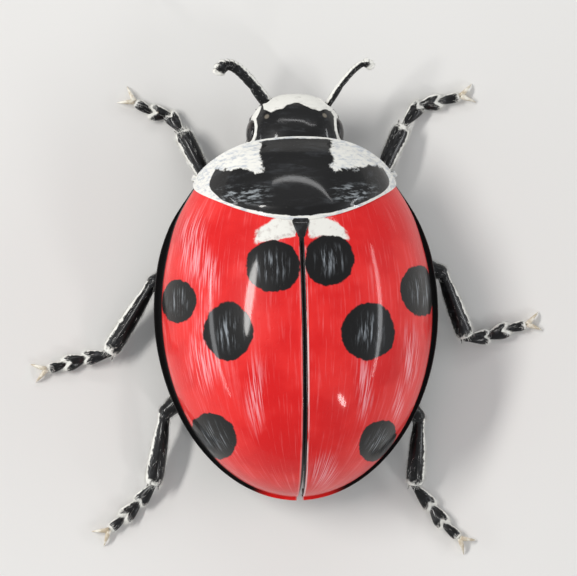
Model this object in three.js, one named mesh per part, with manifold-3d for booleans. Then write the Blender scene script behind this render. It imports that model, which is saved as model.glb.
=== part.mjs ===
// A seven-spot ladybird at life size, standing on six feet with its feelers spread.
// Millimetres. The floor is z = 0, the head points along +Y and the back faces +Z.
// The body's middle plane is x = 0. The left side of the animal lies at negative x.

import * as THREE from 'three';
import { mergeVertices } from 'three/addons/utils/BufferGeometryUtils.js';
import Module from 'manifold-3d';

const wasm = await Module();
wasm.setup();

// Driving dimensions of the back, which is an egg-shaped dome over a shallow belly
const rimHeight = 0.95;
const domeCentreY = -0.1;
const domeHalfWidth = 2.75;
const domeHalfLength = 3.65;
const domeHeight = 2.5;
const domeLean = 0.12;
const bellyDepth = 0.6;
const wingCaseThickness = 0.5;
const wingShoulderY = 2.3;
const seam = 0.03;
const tailDroop = 0.14;

// The shield behind the head continues the dome with a longer, narrower curve
const shieldHalfWidth = 2.5;
const shieldHalfLength = 4.1;
const shieldThickness = 0.45;
const shieldCorner = new THREE.Vector2(1.93, 2.3);
const shieldShoulder = new THREE.Vector2(1.8, 2.6);
const shieldFront = new THREE.Vector2(0.95, 3.17);
const shieldMiddleFrontY = 3.27;
const shieldMiddleRearY = 1.66;
const shieldSweep = 0.42;
const shieldCornerDrop = 0.28;
const shieldMiddleSweep = 0.84;
const shieldBrowOut = 0.05;
const shieldBrowDrop = 0.14;
const shieldEdgeHeight = 1.1;
const scutellumHalfWidth = 0.2;
const scutellumFrontY = 1.6;
const scutellumTipY = 1.26;

// Head, which hangs a little forward and down under the front edge of the shield
const headCentre = new THREE.Vector3(0, 3.17, 1.24);
const headRadii = new THREE.Vector3(0.93, 0.93, 0.7);
const headTilt = THREE.MathUtils.degToRad(-14);
const faceEdgeY = 3.82;
const faceHalfWidth = 0.66;
const faceScallop = 0.07;
const eyeCentre = new THREE.Vector3(0.76, 3.34, 1.29);
const eyeRadii = new THREE.Vector3(0.2, 0.29, 0.3);

// Mouthparts, under the front of the head
const mouthHalfWidth = 0.8;
const mouthRearY = 3.15;
const mouthHeight = 0.98;
const lipCentre = new THREE.Vector3(0, 3.74, 0.84);
const lipRadii = new THREE.Vector3(0.4, 0.26, 0.11);
const jawRoot = new THREE.Vector3(0.32, 3.46, 0.6);
const jawTip = new THREE.Vector3(0.1, 3.82, 0.58);
const jawRadii = [0.14, 0.15, 0.07];
const palpPath = [
  new THREE.Vector3(0.6, 3.36, 0.72),
  new THREE.Vector3(0.68, 3.62, 0.68),
  new THREE.Vector3(0.62, 3.86, 0.7),
];
const palpRadii = [0.1, 0.1, 0.16];
const chinCentre = new THREE.Vector3(0, 3.38, 0.6);
const chinRadii = new THREE.Vector3(0.3, 0.3, 0.2);

// Feelers: a stem of even width and a club at its end
const feelerRadius = 0.2;
const clubRadius = 0.24;
const feelers = [
  {
    side: 'left',
    stem: [[-0.44, 3.87, 1.23], [-1.1, 4.6, 1.49]],
    club: [[-1.33, 4.66, 1.47], [-1.43, 4.48, 1.4]],
  },
  {
    side: 'right',
    stem: [[0.65, 3.86, 1.23], [1.26, 4.56, 1.49]],
    club: [[1.46, 4.66, 1.47], [1.55, 4.55, 1.41]],
  },
];

// Trunk: the plates that part it, from front to rear
const neckY = 1.86;
const wingBaseY = 0.95;
const waistY = -0.75;
const tailY = -3.6;
const abdomenJoints = [waistY, -1.3, -1.8, -2.25, -2.65, tailY];
const throatCentre = new THREE.Vector3(0, 2.35, 1.3);
const throatRadii = new THREE.Vector3(1.72, 0.95, 0.85);
const keelHalfWidth = 0.13;
const legHollowFrontY = 2.66;
const legHollowHeight = 0.92;
const sidePlateX = 1.4;
const sidePlateRearY = wingBaseY;
const sidePlateFrontY = 1.42;

// Legs: each stands on a stance of its own, from the hip to the tip of the foot
const hipRadius = 0.27;
const hipLength = 0.3;
const thighRadii = [0.2, 0.29, 0.19];
const shinRadii = [0.24, 0.25, 0.22];
const toeRadius = 0.21;
const toeRootRadius = 0.15;
const toeHeight = 0.14;
const toeStart = 0.3;
const clawLength = 0.25;
const clawRadii = [0.1, 0.04];
const clawSpread = THREE.MathUtils.degToRad(35);
const clawDrop = 0.06;
const legs = [
  {
    name: 'front_left', hip: [-0.44, 2.3], knee: [-1.6, 2.36], ankle: [-2.1, 3.42],
    toes: [[-2.32, 3.76], [-2.68, 3.83], [-2.95, 4.0]],
  },
  {
    name: 'front_right', hip: [0.44, 2.3], knee: [1.64, 2.36], ankle: [2.19, 3.45],
    toes: [[2.53, 3.85], [2.92, 3.92], [3.28, 4.0]],
  },
  {
    name: 'middle_left', hip: [-0.8, 1.25], knee: [-2.74, 0.52], ankle: [-3.6, -0.82],
    toes: [[-4.05, -0.91], [-4.45, -1.02], [-4.75, -1.1]],
  },
  {
    name: 'middle_right', hip: [0.8, 1.25], knee: [2.86, 0.6], ankle: [3.33, -0.66],
    toes: [[3.76, -0.66], [4.15, -0.52], [4.48, -0.45]],
  },
  {
    name: 'hind_left', hip: [-1.0, -0.72], knee: [-2.56, -2.0], ankle: [-2.8, -3.38],
    toes: [[-3.08, -3.71], [-3.39, -4.01], [-3.64, -4.22]],
  },
  {
    name: 'hind_right', hip: [1.0, -0.72], knee: [2.36, -2.2], ankle: [2.27, -3.5],
    toes: [[2.6, -3.92], [2.84, -4.28], [3.1, -4.52]],
  },
];
const hipHeight = 0.52;
const kneeHeight = 0.62;
const ankleHeight = 0.36;

// Number of sides and rows in each kind of round shape
const domeSides = 36;
const domeRows = 18;
const innerSides = 24;
const innerRows = 12;
const headSides = 14;
const headRows = 10;
const smallSides = 10;
const smallRows = 6;
const limbSides = 7;
const clawSides = 5;
const limbCapRows = 2;
const curveSteps = 4;

const far = 20;
const mergeDistance = 1e-5;

// Each finish has the colour, roughness and sheen of one kind of shell
const finishes = {
  red: { color: 0xc4262a, roughness: 0.28, metalness: 0 },
  black: { color: 0x16161a, roughness: 0.35, metalness: 0 },
  underside: { color: 0x1d1c1e, roughness: 0.55, metalness: 0 },
  cream: { color: 0xe9e4d8, roughness: 0.5, metalness: 0 },
  eye: { color: 0x0c0c10, roughness: 0.2, metalness: 0 },
  leg: { color: 0x1a191b, roughness: 0.45, metalness: 0 },
  mouth: { color: 0x2a2320, roughness: 0.5, metalness: 0 },
};

/** Turns a closed three.js shape into a solid, dropping the flat triangles at its poles. */
function solid(geometry) {
  const bare = geometry.clone();
  bare.deleteAttribute('normal');
  bare.deleteAttribute('uv');
  const merged = mergeVertices(bare, mergeDistance);
  const corners = merged.index.array;
  const triVerts = [];
  for (let first = 0; first < corners.length; first += 3) {
    const [a, b, c] = corners.subarray(first, first + 3);
    if (a !== b && b !== c && c !== a) {
      triVerts.push(a, b, c);
    }
  }
  return new wasm.Manifold(new wasm.Mesh({
    numProp: 3,
    vertProperties: new Float32Array(merged.attributes.position.array),
    triVerts: new Uint32Array(triVerts),
  }));
}

/** Lets the rear of the body down towards the tail, by droop where it ends. */
function bend(geometry, droop) {
  const place = geometry.attributes.position;
  for (let index = 0; index < place.count; index += 1) {
    const behind = Math.max(0, domeCentreY - place.getY(index)) / domeHalfLength;
    place.setZ(index, place.getZ(index) - droop * behind ** 2);
  }
}

/** Takes a list of solids away from a solid. */
function cutAll(body, cuts) {
  return cuts.reduce((left, cut) => left.subtract(cut), body);
}

/** A named mesh of a solid, placed by the middle of its box. */
function piece(name, body, finish, sag = 0) {
  const shape = body.getMesh();
  const geometry = new THREE.BufferGeometry();
  geometry.setAttribute('position', new THREE.BufferAttribute(shape.vertProperties, 3));
  geometry.setIndex(new THREE.BufferAttribute(shape.triVerts, 1));
  bend(geometry, sag);
  geometry.computeBoundingBox();
  const middle = geometry.boundingBox.getCenter(new THREE.Vector3());
  geometry.translate(-middle.x, -middle.y, -middle.z);
  geometry.computeVertexNormals();
  const mesh = new THREE.Mesh(geometry, new THREE.MeshStandardMaterial(finishes[finish]));
  mesh.name = name;
  mesh.position.copy(middle);
  return mesh;
}

/** A block between its lowest and its highest corner. */
function block(low, high) {
  const geometry = new THREE.BoxGeometry(high.x - low.x, high.y - low.y, high.z - low.z);
  geometry.translate((low.x + high.x) / 2, (low.y + high.y) / 2, (low.z + high.z) / 2);
  return solid(geometry);
}

/** All the space between two values of y. */
function slab(rearY, frontY) {
  return block(new THREE.Vector3(-far, rearY, -far), new THREE.Vector3(far, frontY, far));
}

/** All the space above a height. */
function above(height) {
  return block(new THREE.Vector3(-far, -far, height), new THREE.Vector3(far, far, far));
}

/** All the space past a distance from the middle plane: side is -1 for left and 1 for right. */
function beyond(side, distance) {
  const low = new THREE.Vector3(side > 0 ? distance : -far, -far, -far);
  const high = new THREE.Vector3(side > 0 ? far : -distance, far, far);
  return block(low, high);
}

/** An upright prism on an outline seen from above. */
function prism(outline) {
  const options = { depth: far, bevelEnabled: false, curveSegments: curveSteps };
  return solid(new THREE.ExtrudeGeometry(outline, options));
}

/** An ellipsoid grown by extra all round, and tilted about the x axis. */
function ellipsoid(centre, radii, extra = 0, tilt = 0, sides = smallSides, rows = smallRows) {
  const geometry = new THREE.SphereGeometry(1, sides, rows);
  geometry.scale(radii.x + extra, radii.y + extra, radii.z + extra);
  geometry.rotateX(tilt);
  geometry.translate(centre.x, centre.y, centre.z);
  return solid(geometry);
}

/** The egg-shaped body. Its top leans back, so that the highest point is behind the middle. */
function egg(halfWidth, halfLength, height, sides, rows) {
  const geometry = new THREE.SphereGeometry(1, sides, rows);
  const place = geometry.attributes.position;
  for (let index = 0; index < place.count; index += 1) {
    const along = place.getY(index);
    const up = place.getZ(index);
    const rise = up > 0 ? height * (1 - domeLean * along) : bellyDepth;
    const x = halfWidth * place.getX(index);
    place.setXYZ(index, x, domeCentreY + halfLength * along, rimHeight + rise * up);
  }
  return solid(geometry);
}

/** A straight limb with round ends, whose radii are spaced evenly from one end to the other. */
function limb(from, to, radii, extra = 0, sides = limbSides, capRows = limbCapRows) {
  const length = from.distanceTo(to);
  const first = radii[0] + extra;
  const last = radii[radii.length - 1] + extra;
  const profile = [new THREE.Vector2(0, -first)];
  for (let row = 1; row < capRows; row += 1) {
    const angle = (row / capRows - 1) * Math.PI / 2;
    profile.push(new THREE.Vector2(Math.cos(angle) * first, Math.sin(angle) * first));
  }
  radii.forEach((radius, index) => {
    profile.push(new THREE.Vector2(radius + extra, length * index / (radii.length - 1)));
  });
  for (let row = 1; row < capRows; row += 1) {
    const angle = row / capRows * Math.PI / 2;
    profile.push(new THREE.Vector2(Math.cos(angle) * last, length + Math.sin(angle) * last));
  }
  profile.push(new THREE.Vector2(0, length + last));
  const geometry = new THREE.LatheGeometry(profile, sides);
  const axis = new THREE.Vector3(0, 1, 0);
  const direction = new THREE.Vector3().subVectors(to, from).normalize();
  geometry.applyQuaternion(new THREE.Quaternion().setFromUnitVectors(axis, direction));
  geometry.translate(from.x, from.y, from.z);
  return solid(geometry);
}

/** The dome of the wing cases, set in from the outside by inset. */
function dome(inset, sides = domeSides, rows = domeRows) {
  const halfWidth = domeHalfWidth - inset;
  const halfLength = domeHalfLength - inset;
  return egg(halfWidth, halfLength, domeHeight - inset, sides, rows);
}

/** The longer dome that the shield is cut from, set in from the outside by inset. */
function shieldDome(inset, sides = domeSides, rows = domeRows) {
  const halfWidth = shieldHalfWidth - inset;
  const halfLength = shieldHalfLength - inset;
  return egg(halfWidth, halfLength, domeHeight - inset, sides, rows);
}

/** The shield's outline from above, grown all round by extra. */
function shieldOutline(extra = 0) {
  const corner = shieldCorner.clone().add(new THREE.Vector2(extra, -extra));
  const shoulder = shieldShoulder.clone().add(new THREE.Vector2(extra, extra));
  const front = shieldFront.clone().add(new THREE.Vector2(extra, extra));
  const rearY = shieldMiddleRearY - extra;
  const crownY = 2 * (shieldMiddleFrontY + extra) - front.y;
  const sweepX = corner.x - shieldSweep;
  const sweepY = corner.y - shieldCornerDrop;
  const bulgeX = corner.x + (corner.x - shoulder.x);
  const bulgeY = (corner.y + shoulder.y) / 2;
  const browX = (shoulder.x + front.x) / 2 + shieldBrowOut;
  const browY = front.y - shieldBrowDrop;
  const outline = new THREE.Shape();
  outline.moveTo(-corner.x, corner.y);
  outline.bezierCurveTo(-sweepX, sweepY, -shieldMiddleSweep, rearY, 0, rearY);
  outline.bezierCurveTo(shieldMiddleSweep, rearY, sweepX, sweepY, corner.x, corner.y);
  outline.quadraticCurveTo(bulgeX, bulgeY, shoulder.x, shoulder.y);
  outline.quadraticCurveTo(browX, browY, front.x, front.y);
  outline.quadraticCurveTo(0, crownY, -front.x, front.y);
  outline.quadraticCurveTo(-browX, browY, -shoulder.x, shoulder.y);
  outline.quadraticCurveTo(-bulgeX, bulgeY, -corner.x, corner.y);
  return outline;
}

/** The wedge between the roots of the wing cases, through the thickness of the back. */
function scutellumPrism(extra = 0) {
  const outline = new THREE.Shape();
  outline.moveTo(-scutellumHalfWidth - extra, scutellumFrontY + shieldSweep);
  outline.lineTo(-scutellumHalfWidth - extra, scutellumFrontY);
  outline.lineTo(0, scutellumTipY - 2 * extra);
  outline.lineTo(scutellumHalfWidth + extra, scutellumFrontY);
  outline.lineTo(scutellumHalfWidth + extra, scutellumFrontY + shieldSweep);
  outline.closePath();
  return prism(outline);
}

/** The front of the head from above, with a rear edge of two scallops. */
function faceOutline(extra = 0) {
  const halfWidth = faceHalfWidth + extra;
  const rearY = faceEdgeY - extra;
  const outline = new THREE.Shape();
  outline.moveTo(-halfWidth, rearY + faceScallop);
  outline.quadraticCurveTo(-halfWidth / 2, rearY - 2 * faceScallop, 0, rearY + faceScallop);
  outline.quadraticCurveTo(halfWidth / 2, rearY - 2 * faceScallop, halfWidth, rearY + faceScallop);
  outline.lineTo(halfWidth, far);
  outline.lineTo(-halfWidth, far);
  outline.closePath();
  return outline;
}

/** The head capsule before anything is cut from it. */
function headBall(extra = 0) {
  return ellipsoid(headCentre, headRadii, extra, headTilt, headSides, headRows);
}

/** One compound eye, which bulges from the side of the head. */
function eyeBall(side, extra = 0) {
  return ellipsoid(eyeCentre.clone().setX(side * eyeCentre.x), eyeRadii, extra);
}

/** A point of the right side, carried to the side that is asked for. */
function mirrored(point, side) {
  return new THREE.Vector3(side * point.x, point.y, point.z);
}

/** One jaw, which closes across the mouth. */
function jaw(side, extra = 0) {
  return limb(mirrored(jawRoot, side), mirrored(jawTip, side), jawRadii, extra);
}

/** One palp, whose last joint is the widest. */
function palp(side, extra = 0) {
  const [root, middle, tip] = palpPath.map((point) => mirrored(point, side));
  const stalk = limb(root, middle, palpRadii.slice(0, 2), extra, limbSides, 1);
  return stalk.add(limb(middle, tip, palpRadii.slice(1), extra, limbSides, 1));
}

/** A feeler's stem. */
function feelerStem(feeler, extra = 0) {
  const [root, end] = feeler.stem.map((place) => new THREE.Vector3(...place));
  return limb(root, end, [feelerRadius, feelerRadius], extra);
}

/** A feeler's club, which hooks down from the end of the stem. */
function feelerClub(feeler) {
  const [elbow, tip] = feeler.club.map((place) => new THREE.Vector3(...place));
  return limb(elbow, tip, [clubRadius, clubRadius]).subtract(feelerStem(feeler, seam));
}

/** The points of one leg at their heights. */
function stance(leg) {
  return {
    hip: new THREE.Vector3(...leg.hip, hipHeight),
    knee: new THREE.Vector3(...leg.knee, kneeHeight),
    ankle: new THREE.Vector3(...leg.ankle, ankleHeight),
    toes: leg.toes.map((place) => new THREE.Vector3(...place, toeHeight)),
  };
}

/** The hip joint, a short barrel that lies across the underside. */
function hip(leg, extra = 0) {
  const { hip: root, knee } = stance(leg);
  const outward = new THREE.Vector3().subVectors(knee, root).setLength(hipLength);
  return limb(root, root.clone().add(outward), [hipRadius, hipRadius], extra);
}

/** The thigh, from a socket in the end of the hip to the knee. */
function thigh(leg, extra = 0) {
  const { hip: root, knee } = stance(leg);
  const outward = new THREE.Vector3().subVectors(knee, root).setLength(hipLength + hipRadius);
  return limb(root.clone().add(outward), knee, thighRadii, extra);
}

/** The shin, from the knee to the ankle. */
function shin(leg, extra = 0) {
  const { knee, ankle } = stance(leg);
  return limb(knee, ankle, shinRadii, extra);
}

/** One claw at the end of the foot, turned out to one side. */
function claw(root, forward, turn) {
  const reach = forward.clone().applyAxisAngle(new THREE.Vector3(0, 0, 1), turn).setLength(clawLength);
  const tip = root.clone().add(reach);
  tip.z -= clawDrop;
  return limb(root, tip, clawRadii, 0, clawSides, 1);
}

/** The foot: three lobes that widen forwards, two claws and a flat sole on the floor. */
function foot(leg) {
  const { ankle, toes } = stance(leg);
  const start = ankle.clone().lerp(toes[0], toeStart).setZ(toeHeight);
  const points = [start, ...toes];
  const lobes = toes.map((toe, index) => (
    limb(points[index], toe, [toeRootRadius, toeRadius], 0, limbSides, 1)
  ));
  const last = toes[toes.length - 1];
  const forward = new THREE.Vector3().subVectors(last, toes[toes.length - 2]).normalize();
  const clawRoot = last.clone().addScaledVector(forward, toeRadius / 2);
  const claws = [-1, 1].map((side) => claw(clawRoot, forward, side * clawSpread));
  return [...lobes, ...claws].reduce((joined, lobe) => joined.add(lobe)).intersect(above(0));
}

/** One wing case: half of the shell, cut back for the shield and the scutellum. */
function wingCase(side) {
  return dome(0)
    .subtract(dome(wingCaseThickness, innerSides, innerRows))
    .intersect(above(rimHeight))
    .intersect(beyond(side, seam / 2))
    .intersect(slab(-far, wingShoulderY))
    .subtract(prism(shieldOutline(seam)))
    .subtract(scutellumPrism(seam));
}

/** The plate that shows between the wing cases, behind the shield. */
function scutellum() {
  return dome(seam)
    .subtract(dome(wingCaseThickness, innerSides, innerRows))
    .intersect(above(rimHeight))
    .intersect(scutellumPrism())
    .subtract(prism(shieldOutline(seam)));
}

/** The shield over the front of the thorax. */
function shield() {
  return shieldDome(0)
    .subtract(shieldDome(shieldThickness, innerSides, innerRows))
    .intersect(above(shieldEdgeHeight))
    .intersect(prism(shieldOutline()))
    .subtract(headBall(seam))
    .subtract(eyeBall(-1, seam))
    .subtract(eyeBall(1, seam));
}

/** The hollow in the underside of the front thorax where one front leg is hung. */
function legHollow(side) {
  const low = new THREE.Vector3(side > 0 ? keelHalfWidth : -far, -far, -far);
  const high = new THREE.Vector3(side > 0 ? far : -keelHalfWidth, legHollowFrontY, legHollowHeight);
  return block(low, high);
}

/** The front of the thorax under the shield, with a keel between the front legs. */
function throat() {
  return ellipsoid(throatCentre, throatRadii, 0, 0, headSides, headRows)
    .intersect(shieldDome(shieldThickness + seam, innerSides, innerRows))
    .intersect(slab(neckY + seam, far))
    .subtract(headBall(seam))
    .subtract(legHollow(-1))
    .subtract(legHollow(1));
}

/** The trunk behind the neck, inside the wing cases above and bare below. */
function trunk() {
  const body = dome(wingCaseThickness + seam, innerSides, innerRows);
  return cutAll(body, legs.slice(2).flatMap((leg) => [hip(leg, seam), thigh(leg, seam)]));
}

/** One ring of the trunk, between two joints. */
function ring(rearY, frontY) {
  return trunk().intersect(slab(rearY + seam / 2, frontY - seam / 2));
}

/** The pale plate on the side of the middle thorax, in front of the middle leg. */
function sidePlateBlock(side, extra = 0) {
  const inner = sidePlateX - extra;
  const low = new THREE.Vector3(side > 0 ? inner : -far, sidePlateRearY - extra, -far);
  const high = new THREE.Vector3(side > 0 ? far : -inner, sidePlateFrontY + extra, rimHeight + seam);
  return block(low, high);
}

/** The open space under the front of the head that holds the mouthparts. */
function mouthRoom() {
  const low = new THREE.Vector3(-mouthHalfWidth, mouthRearY, -far);
  return block(low, new THREE.Vector3(mouthHalfWidth, far, mouthHeight));
}

/** The skull: the head capsule with its sockets, and without the pale front. */
function skull() {
  const sockets = feelers.map((feeler) => feelerStem(feeler, seam));
  const eyes = [eyeBall(-1, seam), eyeBall(1, seam)];
  return cutAll(headBall(), [mouthRoom(), prism(faceOutline(seam)), ...eyes, ...sockets]);
}

/** The pale front of the head, above the lip. */
function face() {
  const sockets = feelers.map((feeler) => feelerStem(feeler, seam));
  return cutAll(headBall().intersect(prism(faceOutline())), [mouthRoom(), ...sockets]);
}

/** The head with its eyes, mouthparts and feelers. */
function headGroup() {
  const group = new THREE.Group();
  const lip = ellipsoid(lipCentre, lipRadii);
  const lipRoom = ellipsoid(lipCentre, lipRadii, seam);
  const chin = cutAll(ellipsoid(chinCentre, chinRadii), [jaw(-1, seam), jaw(1, seam)]);
  group.add(piece('head', skull(), 'black'));
  group.add(piece('face', face(), 'cream'));
  group.add(piece('lip', lip, 'mouth'));
  group.add(piece('chin', chin, 'mouth'));
  [['left', -1], ['right', 1]].forEach(([name, side]) => {
    group.add(piece(`eye_${name}`, eyeBall(side), 'eye'));
    group.add(piece(`jaw_${name}`, jaw(side).subtract(lipRoom), 'mouth'));
    group.add(piece(`palp_${name}`, palp(side), 'mouth'));
  });
  feelers.forEach((feeler) => {
    group.add(piece(`feeler_${feeler.side}_stem`, feelerStem(feeler), 'leg'));
    group.add(piece(`feeler_${feeler.side}_club`, feelerClub(feeler), 'leg'));
  });
  return group;
}

/** The thorax with its shield, the scutellum and the pale side plates. */
function thoraxGroup() {
  const group = new THREE.Group();
  const middle = ring(wingBaseY, neckY);
  group.add(piece('shield', shield(), 'black'));
  group.add(piece('throat', throat(), 'underside'));
  group.add(piece('scutellum', scutellum(), 'black'));
  const sidePlateRooms = [sidePlateBlock(-1, seam), sidePlateBlock(1, seam)];
  group.add(piece('middle_thorax', cutAll(middle, sidePlateRooms), 'underside'));
  group.add(piece('side_plate_left', middle.intersect(sidePlateBlock(-1)), 'cream'));
  group.add(piece('side_plate_right', middle.intersect(sidePlateBlock(1)), 'cream'));
  group.add(piece('hind_thorax', ring(waistY, wingBaseY), 'underside', tailDroop));
  return group;
}

/** The rings of the abdomen, numbered from the waist to the tail. */
function abdomenGroup() {
  const group = new THREE.Group();
  abdomenJoints.slice(1).forEach((rearY, index) => {
    group.add(piece(`abdomen_${index + 1}`, ring(rearY, abdomenJoints[index]), 'underside', tailDroop));
  });
  return group;
}

/** The two wing cases. */
function wingCaseGroup() {
  const group = new THREE.Group();
  group.add(piece('wing_case_left', wingCase(-1), 'red', tailDroop));
  group.add(piece('wing_case_right', wingCase(1), 'red', tailDroop));
  return group;
}

/** One leg in four parts. */
function legGroup(leg) {
  const group = new THREE.Group();
  group.add(piece(`${leg.name}_hip`, hip(leg).subtract(thigh(leg, seam)), 'leg'));
  group.add(piece(`${leg.name}_thigh`, thigh(leg).subtract(shin(leg, seam)), 'leg'));
  group.add(piece(`${leg.name}_shin`, shin(leg), 'leg'));
  group.add(piece(`${leg.name}_foot`, foot(leg).subtract(shin(leg, seam)), 'leg'));
  return group;
}

const ladybird = new THREE.Group();
ladybird.add(headGroup(), thoraxGroup(), wingCaseGroup(), abdomenGroup(), ...legs.map(legGroup));

export default ladybird;
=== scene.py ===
import math
import random

import bmesh
import bpy
from mathutils import Matrix, Vector, noise


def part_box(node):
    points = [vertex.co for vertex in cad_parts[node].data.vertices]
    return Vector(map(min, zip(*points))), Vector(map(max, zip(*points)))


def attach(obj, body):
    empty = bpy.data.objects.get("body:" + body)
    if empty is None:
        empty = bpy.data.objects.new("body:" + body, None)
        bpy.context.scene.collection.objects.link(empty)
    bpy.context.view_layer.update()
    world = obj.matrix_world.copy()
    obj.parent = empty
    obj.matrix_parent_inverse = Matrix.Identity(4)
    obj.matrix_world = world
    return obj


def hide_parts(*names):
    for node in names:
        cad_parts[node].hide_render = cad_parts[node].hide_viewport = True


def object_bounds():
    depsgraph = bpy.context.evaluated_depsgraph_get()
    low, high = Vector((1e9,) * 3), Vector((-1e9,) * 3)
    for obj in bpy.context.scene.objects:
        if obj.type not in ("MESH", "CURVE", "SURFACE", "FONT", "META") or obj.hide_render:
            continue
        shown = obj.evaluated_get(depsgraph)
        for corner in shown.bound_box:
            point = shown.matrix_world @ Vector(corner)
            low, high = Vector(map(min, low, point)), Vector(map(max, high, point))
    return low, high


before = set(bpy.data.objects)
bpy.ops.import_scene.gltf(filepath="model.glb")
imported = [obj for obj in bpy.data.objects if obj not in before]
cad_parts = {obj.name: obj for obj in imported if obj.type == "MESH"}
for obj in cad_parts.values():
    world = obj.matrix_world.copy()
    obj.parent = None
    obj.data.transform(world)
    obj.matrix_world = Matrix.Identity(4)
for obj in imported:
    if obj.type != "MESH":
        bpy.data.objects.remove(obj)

cad_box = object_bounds()

# Stage: a pale floor under the six feet, a long lens that looks down on the back from a little
# to the left, and soft lamps. The ladybird is worked in millimetres and stands at z = 0.
MM = 0.001
VIEW_WIDTH = 11.1
LENS = 600
SENSOR = 36
NEAREST = 0.001
FURTHEST = 3
SIDE_TILT = math.radians(3.5)
ROLL = math.radians(1.2)
AIM_OFFSET = Vector((-0.035, 0.35, -0.2))
ROOM_COLOUR = (0.9, 0.92, 0.95, 1)
ROOM_STRENGTH = 0.46
FLOOR_SIZE = 2.0
FLOOR_COLOUR = (0.74, 0.73, 0.71, 1)
FLOOR_ROUGHNESS = 0.75
WARM_WHITE = (1, 0.985, 0.96)
COOL_WHITE = (0.96, 0.98, 1)


def lamp(name, place, reach, power, colour):
    """A soft box that faces the middle of the back. Its place and size are in millimetres."""
    light = bpy.data.lights.new(name, "AREA")
    light.shape = "ELLIPSE"
    light.size = reach[0] * MM
    light.size_y = reach[1] * MM
    light.energy = power
    light.color = colour
    stand = bpy.data.objects.new(name, light)
    stand.location = Vector(place) * MM
    stand.rotation_euler = (-Vector(place)).to_track_quat("-Z", "Y").to_euler()
    stand.visible_camera = False
    bpy.context.collection.objects.link(stand)


aim = (cad_box[0] + cad_box[1]) / 2 + AIM_OFFSET * MM
view_back = Vector((-math.sin(SIDE_TILT), 0, math.cos(SIDE_TILT)))
view_up = Vector((math.sin(ROLL), math.cos(ROLL), 0))
view_up = (view_up - view_up.project(view_back)).normalized()
view_side = view_up.cross(view_back)
camera_data = bpy.data.cameras.new("camera")
camera_data.lens = LENS
camera_data.sensor_width = SENSOR
camera_data.clip_start = NEAREST
camera_data.clip_end = FURTHEST
camera = bpy.data.objects.new("camera", camera_data)
turned = Matrix((view_side, view_up, view_back)).transposed().to_4x4()
camera.matrix_world = Matrix.Translation(aim + view_back * (VIEW_WIDTH * MM * LENS / SENSOR)) @ turned
bpy.context.collection.objects.link(camera)
bpy.context.scene.camera = camera
bpy.context.scene.view_settings.view_transform = "Standard"

lamp("long_soft_box", (-85, 30, 100), (80, 15), 0.11, WARM_WHITE)
lamp("right_strip", (105, 5, 40), (110, 8), 0.032, COOL_WHITE)
lamp("left_strip", (-105, -10, 26), (110, 8), 0.026, COOL_WHITE)
lamp("front_strip", (10, 95, 70), (120, 5), 0.016, (1, 1, 1))
lamp("rear_fill", (90, -98, 90), (9, 34), 0.03, (1, 0.99, 0.98))

room = bpy.data.worlds.new("studio")
room.use_nodes = True
room.node_tree.nodes["Background"].inputs["Color"].default_value = ROOM_COLOUR
room.node_tree.nodes["Background"].inputs["Strength"].default_value = ROOM_STRENGTH
bpy.context.scene.world = room

floor_finish = bpy.data.materials.new("floor_finish")
floor_finish.use_nodes = True
floor_shader = floor_finish.node_tree.nodes["Principled BSDF"]
floor_shader.inputs["Base Color"].default_value = FLOOR_COLOUR
floor_shader.inputs["Roughness"].default_value = FLOOR_ROUGHNESS
floor_mesh = bpy.data.meshes.new("floor")
floor_bm = bmesh.new()
bmesh.ops.create_grid(floor_bm, x_segments=2, y_segments=2, size=FLOOR_SIZE)
floor_bm.to_mesh(floor_mesh)
floor_bm.free()
floor_mesh.materials.append(floor_finish)
floor = bpy.data.objects.new("floor", floor_mesh)
bpy.context.collection.objects.link(floor)

# Wing cases: the two hardened fore wings, domed shells of horny chitin that meet along the
# middle of the back. Each has a flat flange along its outer side, folded in underneath, and a
# smooth, finely pitted, glossy skin whose red and black are pigment under the gloss.
SIDES = {"left": -1, "right": 1}
RIM_HEIGHT = 0.95
BACK_MIDDLE_Y = -0.1
BACK_HEIGHT = 2.5
BACK_LEAN = 0.12
TAIL_DROOP = 0.14
FLANGE = 0.12
CASE_WALL = 0.045
CASE_COLUMNS = 48
CASE_ROWS = 150
CASE_BASE = (Vector((0, 1.80, 0)), Vector((1.95, 2.42, 0)))
CROWDING = 0.8
FRONT_LIFT = 0.27
SHOULDER_X = 1.95
SHOULDER_Y = 1.55
SHOULDER_SWELL = 0.05
SUTURE_GAP = 0.008
TAIL_GAP = 0.09
SUTURE_BEAD = 0.012
SUTURE_DIP = 0.03
RED = (0.78, 0.026, 0.024, 1)
DEEP_RED = (0.66, 0.010, 0.011, 1)
PINK = (0.90, 0.22, 0.23, 1)
# Painted highlight: the pale pink of the streaks of light along the flanks.
HIGHLIGHT_PINK = (0.92, 0.42, 0.46, 1)
# Painted highlight: the pinkish white of a line of light beside the seam.
SUTURE_HIGHLIGHT_PINK = (0.80, 0.62, 0.62, 1)
CREAM = (0.80, 0.79, 0.74, 1)
CREAM_SHADE = (0.55, 0.50, 0.47, 1)
SHELL_BLACK = (0.006, 0.0058, 0.006, 1)
# Painted highlight: the grey of brushed strokes of light in the middle of each black spot.
SPOT_HIGHLIGHT_GREY = (0.42, 0.46, 0.50, 1)
LINING = (0.10, 0.022, 0.014, 1)
COAT_IOR = 1.4
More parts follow.
